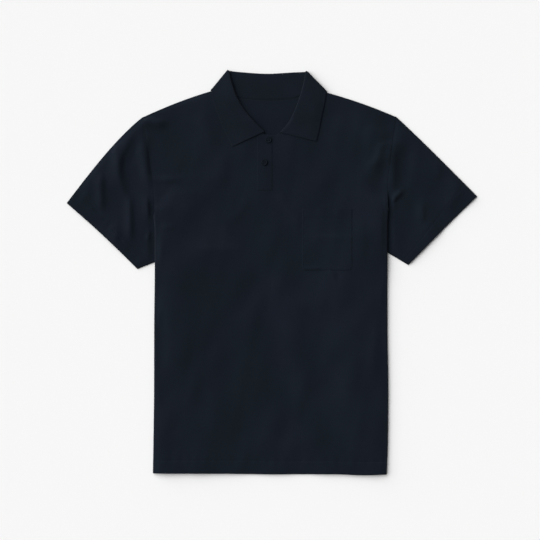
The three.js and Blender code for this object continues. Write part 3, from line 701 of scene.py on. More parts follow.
def sleeveTop(side, x, y, t, w):
    bodyEdge = side["edgeX"](y) + lay["rampStart"]
    fromBody = smooth(bodyEdge, bodyEdge + sleeveSizes["bodyEase"], x)
    fromEdges = smooth(0, sleeveSizes["edgeEase"], t) * smooth(0, sleeveSizes["edgeEase"], 1 - t)
    fromSeam = smooth(0, sleeveSizes["seamEase"], w)
    folds = clothRelief(side["sign"] * x, y) * fromEdges * np.maximum(fromBody * fromSeam, runsOn(side, y))
    return floorMid + layer + sleeveSizes["air"] * fromBody * fromEdges * fromSeam + folds


def sleeveGrid(side):
    plan = sleevePlan(side)
    radius = layer / 2
    edge = radius + cloth["wall"] / 2
    length = np.linalg.norm(plan(sleeveSizes["middle"], 1) - plan(sleeveSizes["middle"], 0))
    hemShare = (sleeveSizes["hemWidth"] + sleeveSizes["hemPast"]) / length
    w = np.concatenate([
        nearSeam / length,
        np.linspace(evenRowsFrom / length, 1 - hemShare, sleeveSizes["along"]),
        np.linspace(1 - hemShare, 1, sleeveSizes["hemRows"] + 1)[1:],
    ])[:, None]
    inset = edge / np.linalg.norm(plan(0, w) - plan(1, w), axis=-1)
    t = mix(inset, 1 - inset, np.linspace(0, 1, sleeveSizes["across"] + 1)[None])
    x, y = np.moveaxis(plan(t, w), -1, 0)
    z = sleeveTop(side, x, y, t, w)
    z = z + seamShape(w * length, t * sleeveSizes["seamLength"]) * seamShows(side, y)
    fromHem = (1 - w) * length - sleeveSizes["hemWidth"]
    z = z - hem["groove"] * bump(fromHem, hem["grooveWidth"])
    puckers = unevenWave(t, cuff) * bump(fromHem, cuff["puckerReach"])
    z = z + hem["pucker"] * puckers * smooth(0, cuff["puckerEase"], t) * smooth(0, cuff["puckerEase"], 1 - t)
    sign = side["sign"]
    upperLayer = np.stack([sign * x, y, z], axis=-1)

    tBottom = mix(1 - inset, inset, np.linspace(0, 1, sleeveSizes["bottom"] + 1)[None])
    x, y = np.moveaxis(plan(tBottom, w), -1, 0)
    lowerLayer = np.stack([sign * x, y, np.full(tBottom.shape, floorMid)], axis=-1)

    def turned(atT, towardsT, startAngle, endAngle):
        place = plan(atT, w)
        out = unit(place - plan(towardsT, w))
        angle = np.linspace(startAngle, endAngle, sleeveSizes["turn"] + 2)[None, 1:-1]
        flat = place + out * radius * np.sin(angle)[..., None]
        height = floorMid + radius + radius * np.cos(angle)
        return np.stack([sign * flat[..., 0], flat[..., 1], height + 0 * flat[..., 0]], axis=-1)

    lowerTurn = turned(1 - inset, 1 - inset - sleeveSizes["turnAim"], 0, math.pi)
    upperTurn = turned(inset, inset + sleeveSizes["turnAim"], math.pi, 0)
    section = np.concatenate([upperLayer, lowerTurn, lowerLayer, upperTurn], axis=1)
    return section if sign > 0 else section[:, ::-1]


sleevePieces, sleevePoints = {}, {}
for name, side in sides.items():
    sleevePoints[name] = sleeveGrid(side)
    sleevePieces[name] = makeCloth("sleeve" + name.capitalize(), sleevePoints[name], cloth["wall"], tube=True)
print("sleeves made")

# What lies on the front
onPanel = (cloth["wall"] + cloth["onFront"]) / 2
pocketSizes = {
    "innerX": 55.8, "outerX": 148.3, "topY": 117.5, "bottomY": 4, "corner": 7, "gap": 0.05,
    "columns": 46, "rows": 56, "topRows": (0, 1, 2, 3.2, 4.6), "evenFrom": 6.5,
    "cornerTurns": (15, 30, 45, 60, 75, 85),
    "hem": 16.5, "hemGroove": 0.28, "hemFuller": 0.15, "hemWidth": 1.2,
    "gape": 0.9, "gapeDepth": 15, "gapeEase": 12, "gapeEven": 0.3,
    "gapes": ((91, 9), (122, 8)),  # the middle and the width of each wave of the open edge
    "sewnIn": 1.8, "pressedBy": 0.1, "pressWidth": 1,
    "puff": 0.16, "puffAt": 3.5, "puffWidth": 3, "wave": 3.1, "sway": 1, "swayWave": 8,
}


# A grid that lies on the front: each row has its y, its first x and its last x
def laidGrid(rows, columns, offset):
    y, startX, endX = np.array(rows, float).T[..., None]
    x = mix(startX, endX, np.linspace(0, 1, columns + 1)[None])
    y = y + 0 * x
    return np.stack([x, y, frontTop(x, y) + offset], axis=-1)


def placketGrid(offset, inset):
    half, middleX = placket["width"] / 2 - inset, placket["middleX"]
    places = np.linspace(placket["topY"], placket["bottomY"] + inset, placket["rows"])
    grid = laidGrid([(y, middleX - half, middleX + half) for y in places], placket["columns"], offset)
    inside = half - np.abs(grid[..., 0] - middleX)
    grid[..., 2] -= placket["pressedBy"] * bump(inside - placket["sewnIn"], placket["pressWidth"])
    return grid


def fromSewnEdges(grid, bottomY):
    x, y = grid[..., 0], grid[..., 1]
    return np.minimum(np.minimum(x - grid[:, :1, 0], grid[:, -1:, 0] - x), y - bottomY)


def pocketGrid():
    p = pocketSizes
    even = np.linspace(p["topY"] - p["evenFrom"], p["bottomY"] + p["corner"], p["rows"])
    rows = [(y, p["innerX"], p["outerX"]) for y in [*(p["topY"] - np.array(p["topRows"])), *even]]
    for degrees in p["cornerTurns"]:
        turn = math.radians(degrees)
        narrowing = p["corner"] * (1 - math.cos(turn))
        y = p["bottomY"] + p["corner"] * (1 - math.sin(turn))
        rows.append((y, p["innerX"] + narrowing, p["outerX"] - narrowing))
    grid = laidGrid(rows, p["columns"], onPanel + p["gap"])
    x, y = grid[..., 0], grid[..., 1]
    inside, fromTop = fromSewnEdges(grid, p["bottomY"]), p["topY"] - y
    lifted = p["gapeEven"] + sum(bump(x - middle, width) for middle, width in p["gapes"])
    gape = p["gape"] * np.exp(-fromTop / p["gapeDepth"]) * lifted * smooth(0, p["gapeEase"], inside)
    stitched = -p["pressedBy"] * bump(inside - p["sewnIn"], p["pressWidth"])
    turned = p["hemFuller"] * (fromTop < p["hem"]) - p["hemGroove"] * bump(fromTop - p["hem"], p["hemWidth"])
    puffs = p["puff"] * unevenWave(y, p) * bump(inside - p["puffAt"], p["puffWidth"])
    grid[..., 2] += gape + stitched + turned + puffs
    return grid


# Stitches press the side edges and the lower edge thin
def thinEdges(grid):
    inside = fromSewnEdges(grid, grid[-1, :, 1].min())
    wall = mix(cloth["pressed"], cloth["onFront"], smooth(0, cloth["pressedWidth"], inside))
    lowered = grid.copy()
    lowered[..., 2] -= (cloth["onFront"] - wall) / 2
    return lowered, wall


placketPoints = placketGrid(onPanel + placket["clear"], 0)
placketTop = makeCloth("placketTop", *thinEdges(placketPoints))
placketUnder = makeCloth("placketUnder", placketGrid(-layer, 1), cloth["wall"])
pocketPoints = pocketGrid()
pocket = makeCloth("chestPocket", *thinEdges(pocketPoints))
print("placket and pocket made")

# Collar: one band, its stand sewn to the neck edge and its leaf folded back over it
collarSizes = {
    "stand": 9, "rollSteps": 10, "leaf": 20, "turn": 14,
    "seamStep": 0.15, "frontStandRise": 0.3, "backRadius": 1.5, "backStations": 70, "frontStations": 52,
    "aim": 0.01, "neckEnds": 0.01, "edgeWall": 0.5, "edgeFade": 0.35, "loweredColumns": 11, "loweredAbove": 3,
    "backRoll": [(-78.5, 372.8), (-62, 370.8), (-11, 367.4), (38, 369.8), (61.5, 370.8)],
    "backLeaf": [(-111, 334.5), (-84, 322), (-11, 312), (62, 321), (99.9, 331.9)],
    "right": {
        "outward": (-0.76, 0.65),
        "stations": [0, 0.1, 0.2, 0.3, 0.4, 0.472],
        "radii": [1.5, 1.6, 1.4, 1.1, 0.95, 0.8],
        "gaps": [0.05, 0.05, 0.05, 0.1, 0.3, 0.7],
        "roll": [(-79, 372.8), (-75, 353), (-64, 322), (-47, 295), (-30, 276), (-14.5, 261)],
        "leaf": [(-111.4, 334.5), (-107, 314), (-99, 290), (-90, 266), (-73.7, 232.2)],
    },
    "left": {
        "outward": (0.73, 0.69),
        "stations": [0, 0.1, 0.2, 0.3, 0.38, 0.432],
        "radii": [1.5, 1.6, 1.5, 1.2, 1, 0.85],
        "gaps": [0.5, 0.9, 1.1, 1.1, 1, 0.9],
        "roll": [(62, 370.8), (59.5, 352), (51, 322), (42, 298), (31, 277), (16.9, 260)],
        "leaf": [(100.4, 331.4), (97.5, 312), (92.5, 290), (87.5, 264), (82.6, 242.2)],
    },
}


def neckSeam(kind, part):
    curve = evenSpline(neckEdges[kind])
    point, aim = curve(part), collarSizes["aim"]
    way = unit(curve(min(part + aim, 1)) - curve(max(part - aim, 0)))
    at = point + np.array([-way[1], way[0]]) * collarSizes["seamStep"]
    x, y = point[:, None]
    fromShoulder = float(min(part, 1 - part) > collarSizes["neckEnds"])
    z = frontHeight(x, y, lay["farIn"] * fromShoulder, fromShoulder) if kind == "front" else backHeight(x, y)
    return at, z[0]


def collarSection(at, seamZ, roll, leaf, radius, standZ, way, leafHeight):
    up = unit(roll - at)
    centre = roll - up * (radius + cloth["collarWall"] / 2)
    centreZ = standZ + way * radius
    t = np.linspace(0, 1, collarSizes["stand"], endpoint=False)[:, None]
    stand = np.hstack([mix(at, centre, t), mix(seamZ, standZ, smooth(0, 1, t))])
    angle = np.linspace(0, math.pi, collarSizes["rollSteps"] + 1)[:, None]
    rolled = np.hstack([centre + up * radius * np.sin(angle), centreZ - way * radius * np.cos(angle)])
    t = np.linspace(0, 1, collarSizes["leaf"] + 1)[1:, None]
    flat = mix(centre, leaf, t)
    height = leafHeight(flat[:, 0], flat[:, 1], t[:, 0], centreZ + way * radius)
    return np.vstack([stand, rolled, np.hstack([flat, height[:, None]])])


def backSections():
    roll, leaf = evenSpline(collarSizes["backRoll"]), evenSpline(collarSizes["backLeaf"])
    floor, radius = cloth["collarWall"] / 2, collarSizes["backRadius"]

    def onFloor(x, y, t, rollZ):
        return np.full(np.shape(x), floor)

    sections = []
    for part in np.linspace(0, 1, collarSizes["backStations"] + 1):
        at, z = neckSeam("back", part)
        sections.append(collarSection(at, z, roll(part), leaf(part), radius, floor + 2 * radius, -1, onFloor))
    return sections


def frontSections(shape, isLeft):
    roll, leaf = splineThrough(shape["roll"]), splineThrough(shape["leaf"])
    places = np.linspace(0, 1, len(shape["stations"]))
    sections = []
    for part in np.linspace(0, 1, collarSizes["frontStations"] + 1):
        station, radius, gap = (np.interp(part, places, shape[key]) for key in ("stations", "radii", "gaps"))
        at, z = neckSeam("front", 1 - station if isLeft else station)

        def overFront(x, y, t, rollZ):
            rest = frontTop(x, y) + (cloth["wall"] + cloth["collarWall"]) / 2 + gap
            return np.maximum(rest, mix(rollZ, rest, smooth(0, 1, t)))

        standZ = z + collarSizes["frontStandRise"]
        sections.append(collarSection(at, z, roll(part), leaf(part), radius, standZ, 1, overFront))
    return sections


def turnSections(low, high, outward):
    sections = []
    for angle in np.linspace(0, math.pi, collarSizes["turn"] + 1)[1:-1]:
        reach = np.abs(high[:, 2:] - low[:, 2:]) / 2 * math.sin(angle)
        point = mix(low, high, (1 - math.cos(angle)) / 2)
        sections.append(point + np.hstack([reach * outward[0], reach * outward[1], 0 * reach]))
    return sections


def collarGrid():
    right = frontSections(collarSizes["right"], False)
    left = frontSections(collarSizes["left"], True)
    back = backSections()
    rightTurn = turnSections(back[0], right[0], collarSizes["right"]["outward"])
    leftTurn = turnSections(back[-1], left[0], collarSizes["left"]["outward"])
    return np.array([*right[::-1], *rightTurn[::-1], *back, *leftTurn, *left])


# The leaf is thinner along its edge, and lies as much lower there
def makeCollar():
    points = collarGrid()
    fromEdge = np.arange(points.shape[1])[::-1]
    taper = smooth(0, collarSizes["edgeFade"], fromEdge / collarSizes["leaf"])
    wall = mix(collarSizes["edgeWall"], cloth["collarWall"], taper)
    lowered = (points[..., 2] > collarSizes["loweredAbove"]) & (fromEdge < collarSizes["loweredColumns"])
    points[..., 2] -= np.where(lowered, (cloth["collarWall"] - wall) / 2, 0)
    return makeCloth("collarBand", points, wall)


collar = makeCollar()
print("collar made")

# Buttons with four holes, sewn on with two pairs of strands
buttonSizes = {
    "diameter": 11.5, "thickness": 2.2, "bevel": 0.6, "flatSide": 0.05, "rim": 1.4, "dish": 0.6,
    "rimRound": (0.3, 0.1, 0.15),  # how far in the rim turns down, and by how much
    "holeRadius": 0.85, "holeSpacing": 2.9, "holeSides": 16, "drillPast": 1, "segments": 48, "sharpAngle": 38,
    "threadRadius": 0.26, "threadShift": 0.28, "clear": 0.15,
    "places": {"button_1": (-6.5, 245), "button_2": (-13.9, 203.5)},
}
# A strand from hole to hole: how far across, as a share of the holes' half spacing, and its height
strandArch = [(-1, -1.2), (-1, -0.1), (-0.6, 0.22), (0, 0.3), (0.6, 0.22), (1, -0.1), (1, -1.2)]
holeSizes = {
    "stitches": 64, "halfLength": 5.6, "endCosine": 0.75, "endSine": 0.66, "inner": 0.35, "outer": 1.35,
    "radius": 0.16, "sides": 5, "arch": [(0, 0), (0.3, 0.12), (0.7, 0.12), (1, -0.05)],
}


def buttonBase(x, y):
    onPlacket = onPanel + placket["clear"] + cloth["onFront"] / 2
    return float(frontTop(np.array([x]), np.array([y]))[0]) + onPlacket


def turnedSolid(name, profile, segments, centre):
    points, rings = [], []
    for r, z in profile:
        ring = []
        for k in range(segments if r else 1):
            turn = 2 * math.pi * k / segments
            ring.append(len(points))
            points.append((centre[0] + r * math.cos(turn), centre[1] + r * math.sin(turn), centre[2] + z))
        rings.append(ring if r else ring * segments)
    faces = []
    for a, b in zip(rings[:-1], rings[1:]):
        for k in range(segments):
            after = (k + 1) % segments
            faces.append(list(dict.fromkeys([a[k], a[after], b[after], b[k]])))
    return makeMesh(name, points, faces)


def makeButton(name, x, y):
    s = buttonSizes
    radius, top, past = s["diameter"] / 2, s["thickness"], s["drillPast"]
    rimIn, dish = radius - s["rim"], top - s["dish"]
    rimStart, rimEnd, rimFall = s["rimRound"]
    profile = [(0, 0), (radius - s["bevel"], 0)]
    for degrees in range(-90, 91, 30):
        turn = math.radians(degrees)
        out = radius - s["bevel"] + s["bevel"] * math.cos(turn)
        profile.append((out, top / 2 + (top / 2 - s["flatSide"]) * math.sin(turn)))
    profile += [(rimIn + rimStart, top), (rimIn - rimEnd, top - rimFall)]
    profile += [(rimIn - s["dish"], dish), (0, dish)]
    z = buttonBase(x, y) + s["clear"]
    made = turnedSolid(name, profile, s["segments"], (x, y, z))
    reach = s["holeSpacing"] / 2
    wall = [(0, -past), (s["holeRadius"], -past), (s["holeRadius"], top + past), (0, top + past)]
    for k, (stepX, stepY) in enumerate([(-1, -1), (1, -1), (1, 1), (-1, 1)]):
        place = (x + reach * stepX, y + reach * stepY, z)
        drill = turnedSolid(f"{name}Drill{k}", wall, s["holeSides"], place)
        cut = made.modifiers.new("hole", "BOOLEAN")
        cut.operation, cut.object = "DIFFERENCE", drill
        bpy.context.view_layer.update()
        whole = bpy.data.meshes.new_from_object(made.evaluated_get(bpy.context.evaluated_depsgraph_get()))
        made.modifiers.clear()
        made.data = whole
        bpy.data.objects.remove(drill)
    made.data.shade_smooth()
    made.data.set_sharp_from_angle(angle=math.radians(s["sharpAngle"]))
    return made, z


# Round threads, each along its own points and thinner at its ends, joined into one mesh
def makeThreads(name, strands, radius, sidesRound=6, endSize=0.55, upright=0.9):
    points, faces = [], []
    for strand in strands:
        strand = np.asarray(strand, float)
        way = unit(np.gradient(strand, axis=0))
        first = unit(np.cross(way, np.where(np.abs(way[:, 2:]) > upright, (1.0, 0, 0), (0, 0, 1.0))))
        second = np.cross(way, first)
        start = len(points)
        for k in range(len(strand)):
            size = radius * (endSize if k in (0, len(strand) - 1) else 1)
            for turn in np.arange(sidesRound) * 2 * math.pi / sidesRound:
                points.append(strand[k] + size * (first[k] * math.cos(turn) + second[k] * math.sin(turn)))
        for k in range(len(strand) - 1):
            a = start + k * sidesRound
            for j in range(sidesRound):
                after = (j + 1) % sidesRound
                faces.append([a + j, a + after, a + sidesRound + after, a + sidesRound + j])
        end = start + (len(strand) - 1) * sidesRound
        faces.append(list(range(start + sidesRound - 1, start - 1, -1)))
        faces.append(list(range(end, end + sidesRound)))
    return makeMesh(name, points, faces)


# Two strands side by side over each pair of holes
def buttonStrands(x, y, dish):
    reach, shift = buttonSizes["holeSpacing"] / 2, buttonSizes["threadShift"]
    places = [x + reachX + shiftX for reachX in (-reach, reach) for shiftX in (-shift, shift)]
    return [[(at, y + reach * along, dish + up) for along, up in strandArch] for at in places]


# Stitches round the slit of a buttonhole, fanned out at its ends
def buttonholeStrands(x, y):
    strands = []
    for turn in np.arange(holeSizes["stitches"]) * 2 * math.pi / holeSizes["stitches"]:
        way = np.array([math.cos(turn), math.sin(turn)])
        if abs(way[0]) < holeSizes["endCosine"] or way[1] == 0:
            along = math.copysign(1, way[1])
        else:
            along = way[1] / holeSizes["endSine"]
        centre = np.array([x, y + holeSizes["halfLength"] * along])
        inner, outer = centre + holeSizes["inner"] * way, centre + holeSizes["outer"] * way
        height = buttonBase(inner[0], inner[1])
        strands.append([(*mix(inner, outer, t), height + up) for t, up in holeSizes["arch"]])
    return strands


buttonPieces, buttonThreads, buttonholes = {}, {}, {}
for name, (x, y) in buttonSizes["places"].items():
    title = name.replace("_", "")
    buttonPieces[name], z = makeButton(title, x, y)
    dish = z + buttonSizes["thickness"] - buttonSizes["dish"]
    strands = buttonStrands(x, y, dish)
    buttonThreads[name] = makeThreads(title + "Thread", strands, buttonSizes["threadRadius"])
    strands = buttonholeStrands(x, y)
    buttonholes[name] = makeThreads(title + "Hole", strands, holeSizes["radius"], holeSizes["sides"])
print("buttons made")

# Sewing: rows of stitches a little proud of the cloth
stitch = {
    "length": 2.7, "gap": 0.75, "radius": 0.2, "start": 0.5, "neckIn": 3.4,
    "places": np.array([0, 0.2, 0.5, 0.8, 1]), "rises": np.array([-0.14, 0.08, 0.12, 0.08, -0.14]),
}


# The line that lies a distance in from the last row of a grid
def lineFromEnd(grid, distance, first, last):
    line = []
    for column in range(first, last):
        points = grid[::-1, column]
        line.append([np.interp(distance, lengthsAlong(points), points[:, k]) for k in range(3)])
    return np.array(line)


def stitchRow(line, rise):
    away = lengthsAlong(line)
    strands = []
    for start in np.arange(stitch["start"], away[-1] - stitch["length"], stitch["length"] + stitch["gap"]):
        places = start + stitch["length"] * stitch["places"]
        points = np.stack([np.interp(places, away, line[:, k]) for k in range(3)], axis=-1)
        points[:, 2] += rise + stitch["rises"]
        strands.append(points)
    return strands


# Lines inside both sides and the lower edge, and below the top where its hem is sewn
def linesInside(grid, inset, topHem):
    sideways = np.swapaxes(grid, 0, 1)
    rowCount, columnCount = grid.shape[:2]
    lines = [
        lineFromEnd(sideways[::-1], inset, 1, rowCount),
        lineFromEnd(grid, inset, 1, columnCount - 1),
        lineFromEnd(sideways, inset, 1, rowCount),
    ]
    return lines + [lineFromEnd(grid[::-1], topHem, 1, columnCount - 1)] if topHem else lines


onWall, onPatch = cloth["wall"] / 2, cloth["onFront"] / 2
edgeColumns = panels["turn"] + panels["strip"]
acrossSleeve = sleeveSizes["across"] + 1
neckColumns = [edgeColumns + round(panels["backMain"] * body[end]) for end in ("firstNeck", "lastNeck")]
hemLine = lineFromEnd(frontGrid, hem["y"], edgeColumns, frontGrid.shape[1] - edgeColumns)
neckLine = lineFromEnd(backGrid[::-1], stitch["neckIn"], neckColumns[0] + 1, neckColumns[1] - 1)
# The lines of each seam, and how far its thread lies above the middle of the cloth
seams = {"hemStitches": ([hemLine], onWall), "neckStitches": ([neckLine], onWall)}
for name, grid in sleevePoints.items():
    first = 0 if name == "left" else grid.shape[1] - acrossSleeve
    line = lineFromEnd(grid, sleeveSizes["hemWidth"], first, first + acrossSleeve)
    seams["cuffStitches" + name.capitalize()] = ([line], onWall)
seams["pocketStitches"] = (linesInside(pocketPoints, pocketSizes["sewnIn"], pocketSizes["hem"]), onPatch)
seams["placketStitches"] = (linesInside(placketPoints, placket["sewnIn"], 0), onPatch)
sewing = {}
for name, (lines, rise) in seams.items():
    strands = [strand for line in lines for strand in stitchRow(line, rise)]
    sewing[name] = makeThreads(name, strands, stitch["radius"])
print("sewing made:", sum(len(piece.data.polygons) for piece in sewing.values()), "faces")


# Materials
def link(tree, source, target):
    if isinstance(source, (int, float)):
        target.default_value = source
    else:
        tree.links.new(source, target)


def calculate(tree, operation, first, second=0.0):
    node = tree.nodes.new("ShaderNodeMath")
    node.operation = operation
    link(tree, first, node.inputs[0])
    link(tree, second, node.inputs[1])
    return node.outputs[0]


def newGroup(name, inputs, outputs):
    group = bpy.data.node_groups.new(name, "ShaderNodeTree")
    for title, kind in inputs:
        group.interface.new_socket(title, in_out="INPUT", socket_type="NodeSocket" + kind)
    for title, kind in outputs:
        group.interface.new_socket(title, in_out="OUTPUT", socket_type="NodeSocket" + kind)
    return group, group.nodes.new("NodeGroupInput").outputs, group.nodes.new("NodeGroupOutput").inputs


# How the stitches slant, and how high a column and a loop stand
knitShape = {"slant": 2.4, "column": 0.6, "loop": 0.2}


# Columns of V stitches. Its place is in metres along the cloth.
def buildKnitGroup():
    group, given, out = newGroup(
        "knitStitches",
        [("Place", "Vector"), ("Column", "Float"), ("Course", "Float"), ("Rib", "Float")],
        [("Height", "Float")],
    )

    def times(first, second):
        return calculate(group, "MULTIPLY", first, second)

    def plus(first, second):
        return calculate(group, "ADD", first, second)

    def wave(angle):
        return calculate(group, "SINE", angle)

    split = group.nodes.new("ShaderNodeSeparateXYZ")
    group.links.new(given["Place"], split.inputs[0])
    columns = calculate(group, "DIVIDE", split.outputs["X"], given["Column"])
    courses = calculate(group, "DIVIDE", split.outputs["Y"], given["Course"])
    column = calculate(group, "ABSOLUTE", wave(times(columns, math.pi)))
    loops = wave(plus(times(courses, 2 * math.pi), times(column, knitShape["slant"])))
    height = plus(times(column, knitShape["column"]), times(loops, knitShape["loop"]))
    ribs = times(wave(times(columns, math.pi / 2)), given["Rib"])
    group.links.new(plus(height, ribs), out["Height"])
    return group


# Scale and detail of each kind of unevenness. The patches' own scale is the material's.
fibreNoise = {"Patch": (None, 3), "Hue": (6.5, 2), "Slub": (420, 2), "Fuzz": (1500, 4)}
slubStretch = (0.2, 1, 1)


# Uneven dye in soft patches, slubs along the yarn, and loose fibres
def buildFibreGroup():
    inputs = [("Place", "Vector"), ("Patches", "Float")]
    group, given, out = newGroup("fibres", inputs, [(title, "Float") for title in fibreNoise])
    stretch = group.nodes.new("ShaderNodeVectorMath")
    stretch.operation = "MULTIPLY"
    group.links.new(given["Place"], stretch.inputs[0])
    stretch.inputs[1].default_value = slubStretch
    onObject = group.nodes.new("ShaderNodeTexCoord").outputs["Object"]
    for title, (scale, detail) in fibreNoise.items():
        noise = group.nodes.new("ShaderNodeTexNoise")
        noise.inputs["Detail"].default_value = detail
        link(group, scale or given["Patches"], noise.inputs["Scale"])
        group.links.new(stretch.outputs[0] if title == "Slub" else onObject, noise.inputs["Vector"])
        group.links.new(noise.outputs["Fac"], out[title])
    return group


def mixColors(tree, factor, first, second):
    node = tree.nodes.new("ShaderNodeMix")
    node.data_type = "RGBA"
    link(tree, factor, node.inputs["Factor"])
    for socket, value in ((node.inputs[6], first), (node.inputs[7], second)):
        if isinstance(value, tuple):
            socket.default_value = (*value, 1)
        else:
            tree.links.new(value, socket)
    return node.outputs[2]


# The middle of a noise, where nearly all of it lies, spread from low to high
def spread(tree, value, low, high):
    node = tree.nodes.new("ShaderNodeMapRange")
    for title, number in {"From Min": 0.35, "From Max": 0.65, "To Min": low, "To Max": high}.items():
        node.inputs[title].default_value = number
    tree.links.new(value, node.inputs["Value"])
    return node.outputs["Result"]


def bumped(tree, height, distance, strength, before=None):
    node = tree.nodes.new("ShaderNodeBump")
    node.inputs["Distance"].default_value = distance
    node.inputs["Strength"].default_value = strength
    tree.links.new(height, node.inputs["Height"])
    if before:
        tree.links.new(before, node.inputs["Normal"])
    return node.outputs["Normal"]


# A stitch's column and course, and every depth, are in metres
finishes = {
    "jersey": {
        "dark": (0.0035, 0.0070, 0.0112), "light": (0.0056, 0.0092, 0.0156), "hue": (0.0050, 0.0075, 0.0160),
        "column": 0.0009, "course": 0.00068, "rib": 0.0, "patches": 11, "weaveDepth": 0.00016,
    },
    "collarKnit": {
        "dark": (0.0036, 0.0070, 0.0112), "light": (0.0058, 0.0094, 0.0160), "hue": (0.0054, 0.0075, 0.0158),
        "column": 0.0008, "course": 0.0006, "rib": 0.35, "patches": 17, "weaveDepth": 0.0002,
    },
}
anyCloth = {
    "roughness": (0.8, 0.93), "specular": 0.08, "sheen": 0.06, "hueShare": 0.7, "slubShare": 0.35,
    # painted shade in the knit's low places: the height below which it starts, and how strong it is
    "paintedShadeBelow": 0.7, "paintedShadeShare": 0.4, "slubDepth": 0.0001, "fuzzDepth": 0.00008,
    "slubStrength": 0.5, "fuzzStrength": 0.4, "weaveStrength": 0.6,
}
hardFinishes = {
    "button": {
        "dark": (0.0030, 0.0046, 0.0085), "light": (0.0058, 0.0088, 0.0150), "scale": 260,
        "roughness": (0.55, 0.7), "specular": 0.06, "depth": 0.00004,
    },
    "thread": {
        "dark": (0.0052, 0.0088, 0.0150), "light": (0.0078, 0.0120, 0.0200), "scale": 1100,
        "roughness": (0.7, 0.85), "specular": 0.1, "depth": 0.00008,
    },
}
materials = {}


def newMaterial(name, specular):
    material = bpy.data.materials.new(name)
    material.use_nodes = True
    materials[name] = material
    shader = material.node_tree.nodes["Principled BSDF"]
    shader.inputs["Specular IOR Level"].default_value = specular
    return material.node_tree, shader


def buildClothMaterials():
    knitGroup, fibreGroup = buildKnitGroup(), buildFibreGroup()
    for name, finish in finishes.items():
        tree, shader = newMaterial(name, anyCloth["specular"])
        shader.inputs["Sheen Weight"].default_value = anyCloth["sheen"]
        place = tree.nodes.new("ShaderNodeAttribute")
        place.attribute_name = "knit"
        knit, fibres = [tree.nodes.new("ShaderNodeGroup") for _ in range(2)]
        knit.node_tree, fibres.node_tree = knitGroup, fibreGroup
        for node in (knit, fibres):
            tree.links.new(place.outputs["Vector"], node.inputs["Place"])
        for title in ("Column", "Course", "Rib"):
            knit.inputs[title].default_value = finish[title.lower()]
        fibres.inputs["Patches"].default_value = finish["patches"]
        color = mixColors(tree, spread(tree, fibres.outputs["Patch"], 0, 1), finish["dark"], finish["light"])
        hue = spread(tree, fibres.outputs["Hue"], 0, anyCloth["hueShare"])
        color = mixColors(tree, hue, color, finish["hue"])
        # Painted shade: the colour goes toward the dark tone where the knit stitches lie low, as if shade
        # fell between them
        below = calculate(tree, "SUBTRACT", anyCloth["paintedShadeBelow"], knit.outputs["Height"])
        paintedKnitShade = calculate(tree, "MULTIPLY", below, anyCloth["paintedShadeShare"])
        color = mixColors(tree, calculate(tree, "MAXIMUM", paintedKnitShade, 0), color, finish["dark"])
        slub = spread(tree, fibres.outputs["Slub"], 0, anyCloth["slubShare"])
        color = mixColors(tree, slub, color, finish["light"])
        tree.links.new(color, shader.inputs["Base Color"])
        rough = spread(tree, fibres.outputs["Fuzz"], *anyCloth["roughness"])
        tree.links.new(rough, shader.inputs["Roughness"])
        normal = bumped(tree, fibres.outputs["Slub"], anyCloth["slubDepth"], anyCloth["slubStrength"])
        normal = bumped(tree, fibres.outputs["Fuzz"], anyCloth["fuzzDepth"], anyCloth["fuzzStrength"], normal)
        normal = bumped(tree, knit.outputs["Height"], finish["weaveDepth"], anyCloth["weaveStrength"], normal)
        tree.links.new(normal, shader.inputs["Normal"])


def buildHardMaterials():
    for name, finish in hardFinishes.items():
        tree, shader = newMaterial(name, finish["specular"])
        noise = tree.nodes.new("ShaderNodeTexNoise")
        noise.inputs["Scale"].default_value = finish["scale"]
        noise.inputs["Detail"].default_value = 4
        tree.links.new(tree.nodes.new("ShaderNodeTexCoord").outputs["Object"], noise.inputs["Vector"])
        color = mixColors(tree, spread(tree, noise.outputs["Fac"], 0, 1), finish["dark"], finish["light"])
        tree.links.new(color, shader.inputs["Base Color"])
        tree.links.new(spread(tree, noise.outputs["Fac"], *finish["roughness"]), shader.inputs["Roughness"])
        tree.links.new(bumped(tree, noise.outputs["Fac"], finish["depth"], 0.5), shader.inputs["Normal"])


buildClothMaterials()
buildHardMaterials()
print("materials ready:", ", ".join(materials))

# The solid that each piece replaces
cutPieces = {
    "back_panel": backPanel, "front_panel": frontPanel,
    "sleeve_left": sleevePieces["left"], "sleeve_right": sleevePieces["right"],
    "placket_top": placketTop, "placket_under": placketUnder, "pocket": pocket, "collar": collar,
}
# The material and the slot of each piece that isn't jersey
otherFinish = {name: ("button", "button") for name in buttonPieces}
otherFinish["collar"] = ("collarKnit", "collar_knit")
for node, piece in {**cutPieces, **buttonPieces}.items():
    materialName, slotName = otherFinish.get(node, ("jersey", "jersey"))
    piece.data.materials.append(materials[materialName])
    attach(piece, "root")
    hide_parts(node)
for piece in [*sewing.values(), *buttonThreads.values(), *buttonholes.values()]:
    piece.data.materials.append(materials["thread"])
    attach(piece, "root")


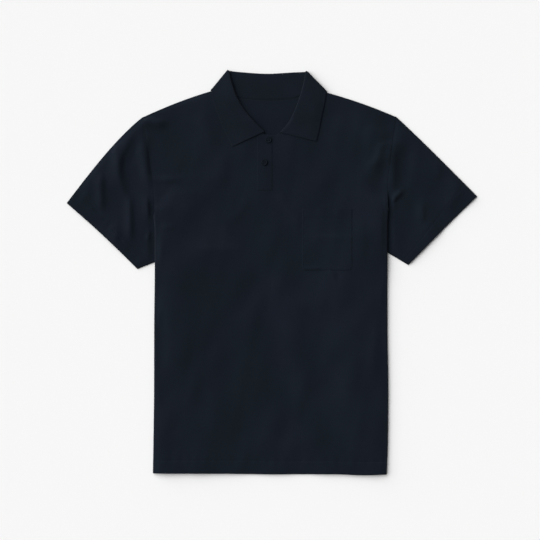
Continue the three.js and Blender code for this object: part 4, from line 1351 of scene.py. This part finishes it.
# Each sheet's flat cut without its seam allowances, in metres, all round on a sleeve: width and length, area,
# how it is held, what it lies on and its rows of stitches
sheets = {
    "back_panel": ((0.545, 0.720), 0.350, "laid", [], ["neckStitches"]),
    "front_panel": ((0.585, 0.720), 0.350, "folded", ["back_panel"], ["hemStitches"]),
    "sleeve_left": ((0.490, 0.210), 0.0530, "laid", [], ["cuffStitchesLeft"]),
    "sleeve_right": ((0.550, 0.215), 0.0560, "laid", [], ["cuffStitchesRight"]),
    "placket_top": ((0.028, 0.102), None, "laid", ["front_panel"], ["placketStitches"]),
    "placket_under": ((0.026, 0.101), None, "laid", ["front_panel"], []),
    "pocket": ((0.0925, 0.1135), 0.0104, "laid", ["front_panel"], ["pocketStitches"]),
    "collar": ((0.435, 0.105), 0.0332, "folded", ["front_panel"], []),
}
for node, (flat, area, held, under, rows) in sheets.items():
    piece = cutPieces[node]

# Floor, light and camera
studio = {
    "floorColor": (0.9, 0.9, 0.9),
    "floorReach": 4000,
    "floorDrop": 0.05,
    "worldStrength": 0.2,
    "sunStrength": 4.4,
    "sunAngle": 78,
    "sunFrom": (-0.86, 0.5, 0.74),
    "cameraHeight": 3000,
    "viewWidth": 999,
    "viewCentre": (-3.4, 4.6),
    "sensor": 36,
}


def makeStudio():
    corners = [(-1, -1), (1, -1), (1, 1), (-1, 1)]
    points = [(x * studio["floorReach"], y * studio["floorReach"], -studio["floorDrop"]) for x, y in corners]
    floor = makeMesh("floor", points, [[0, 1, 2, 3]])
    _, shader = newMaterial("paper", 0)
    shader.inputs["Base Color"].default_value = (*studio["floorColor"], 1)
    shader.inputs["Roughness"].default_value = 1
    floor.data.materials.append(materials["paper"])

    world = bpy.data.worlds.new("studio")
    world.use_nodes = True
    background = world.node_tree.nodes["Background"]
    background.inputs["Strength"].default_value = studio["worldStrength"]
    background.inputs["Color"].default_value = (1, 1, 1, 1)
    bpy.context.scene.world = world

    light = bpy.data.objects.new("sun", bpy.data.lights.new("sun", "SUN"))
    light.data.energy = studio["sunStrength"]
    light.data.angle = math.radians(studio["sunAngle"])
    light.rotation_mode = "QUATERNION"
    light.rotation_quaternion = Vector(studio["sunFrom"]).to_track_quat("Z", "Y")
    bpy.context.scene.collection.objects.link(light)

    camera = bpy.data.objects.new("camera", bpy.data.cameras.new("camera"))
    camera.data.sensor_width = studio["sensor"]
    camera.data.lens = studio["sensor"] * studio["cameraHeight"] / studio["viewWidth"]
    camera.data.clip_end = 20
    camera.location = Vector((*studio["viewCentre"], studio["cameraHeight"])) * mm
    bpy.context.scene.collection.objects.link(camera)
    bpy.context.scene.camera = camera
    bpy.context.scene.view_settings.view_transform = "Standard"


makeStudio()
print("studio ready")
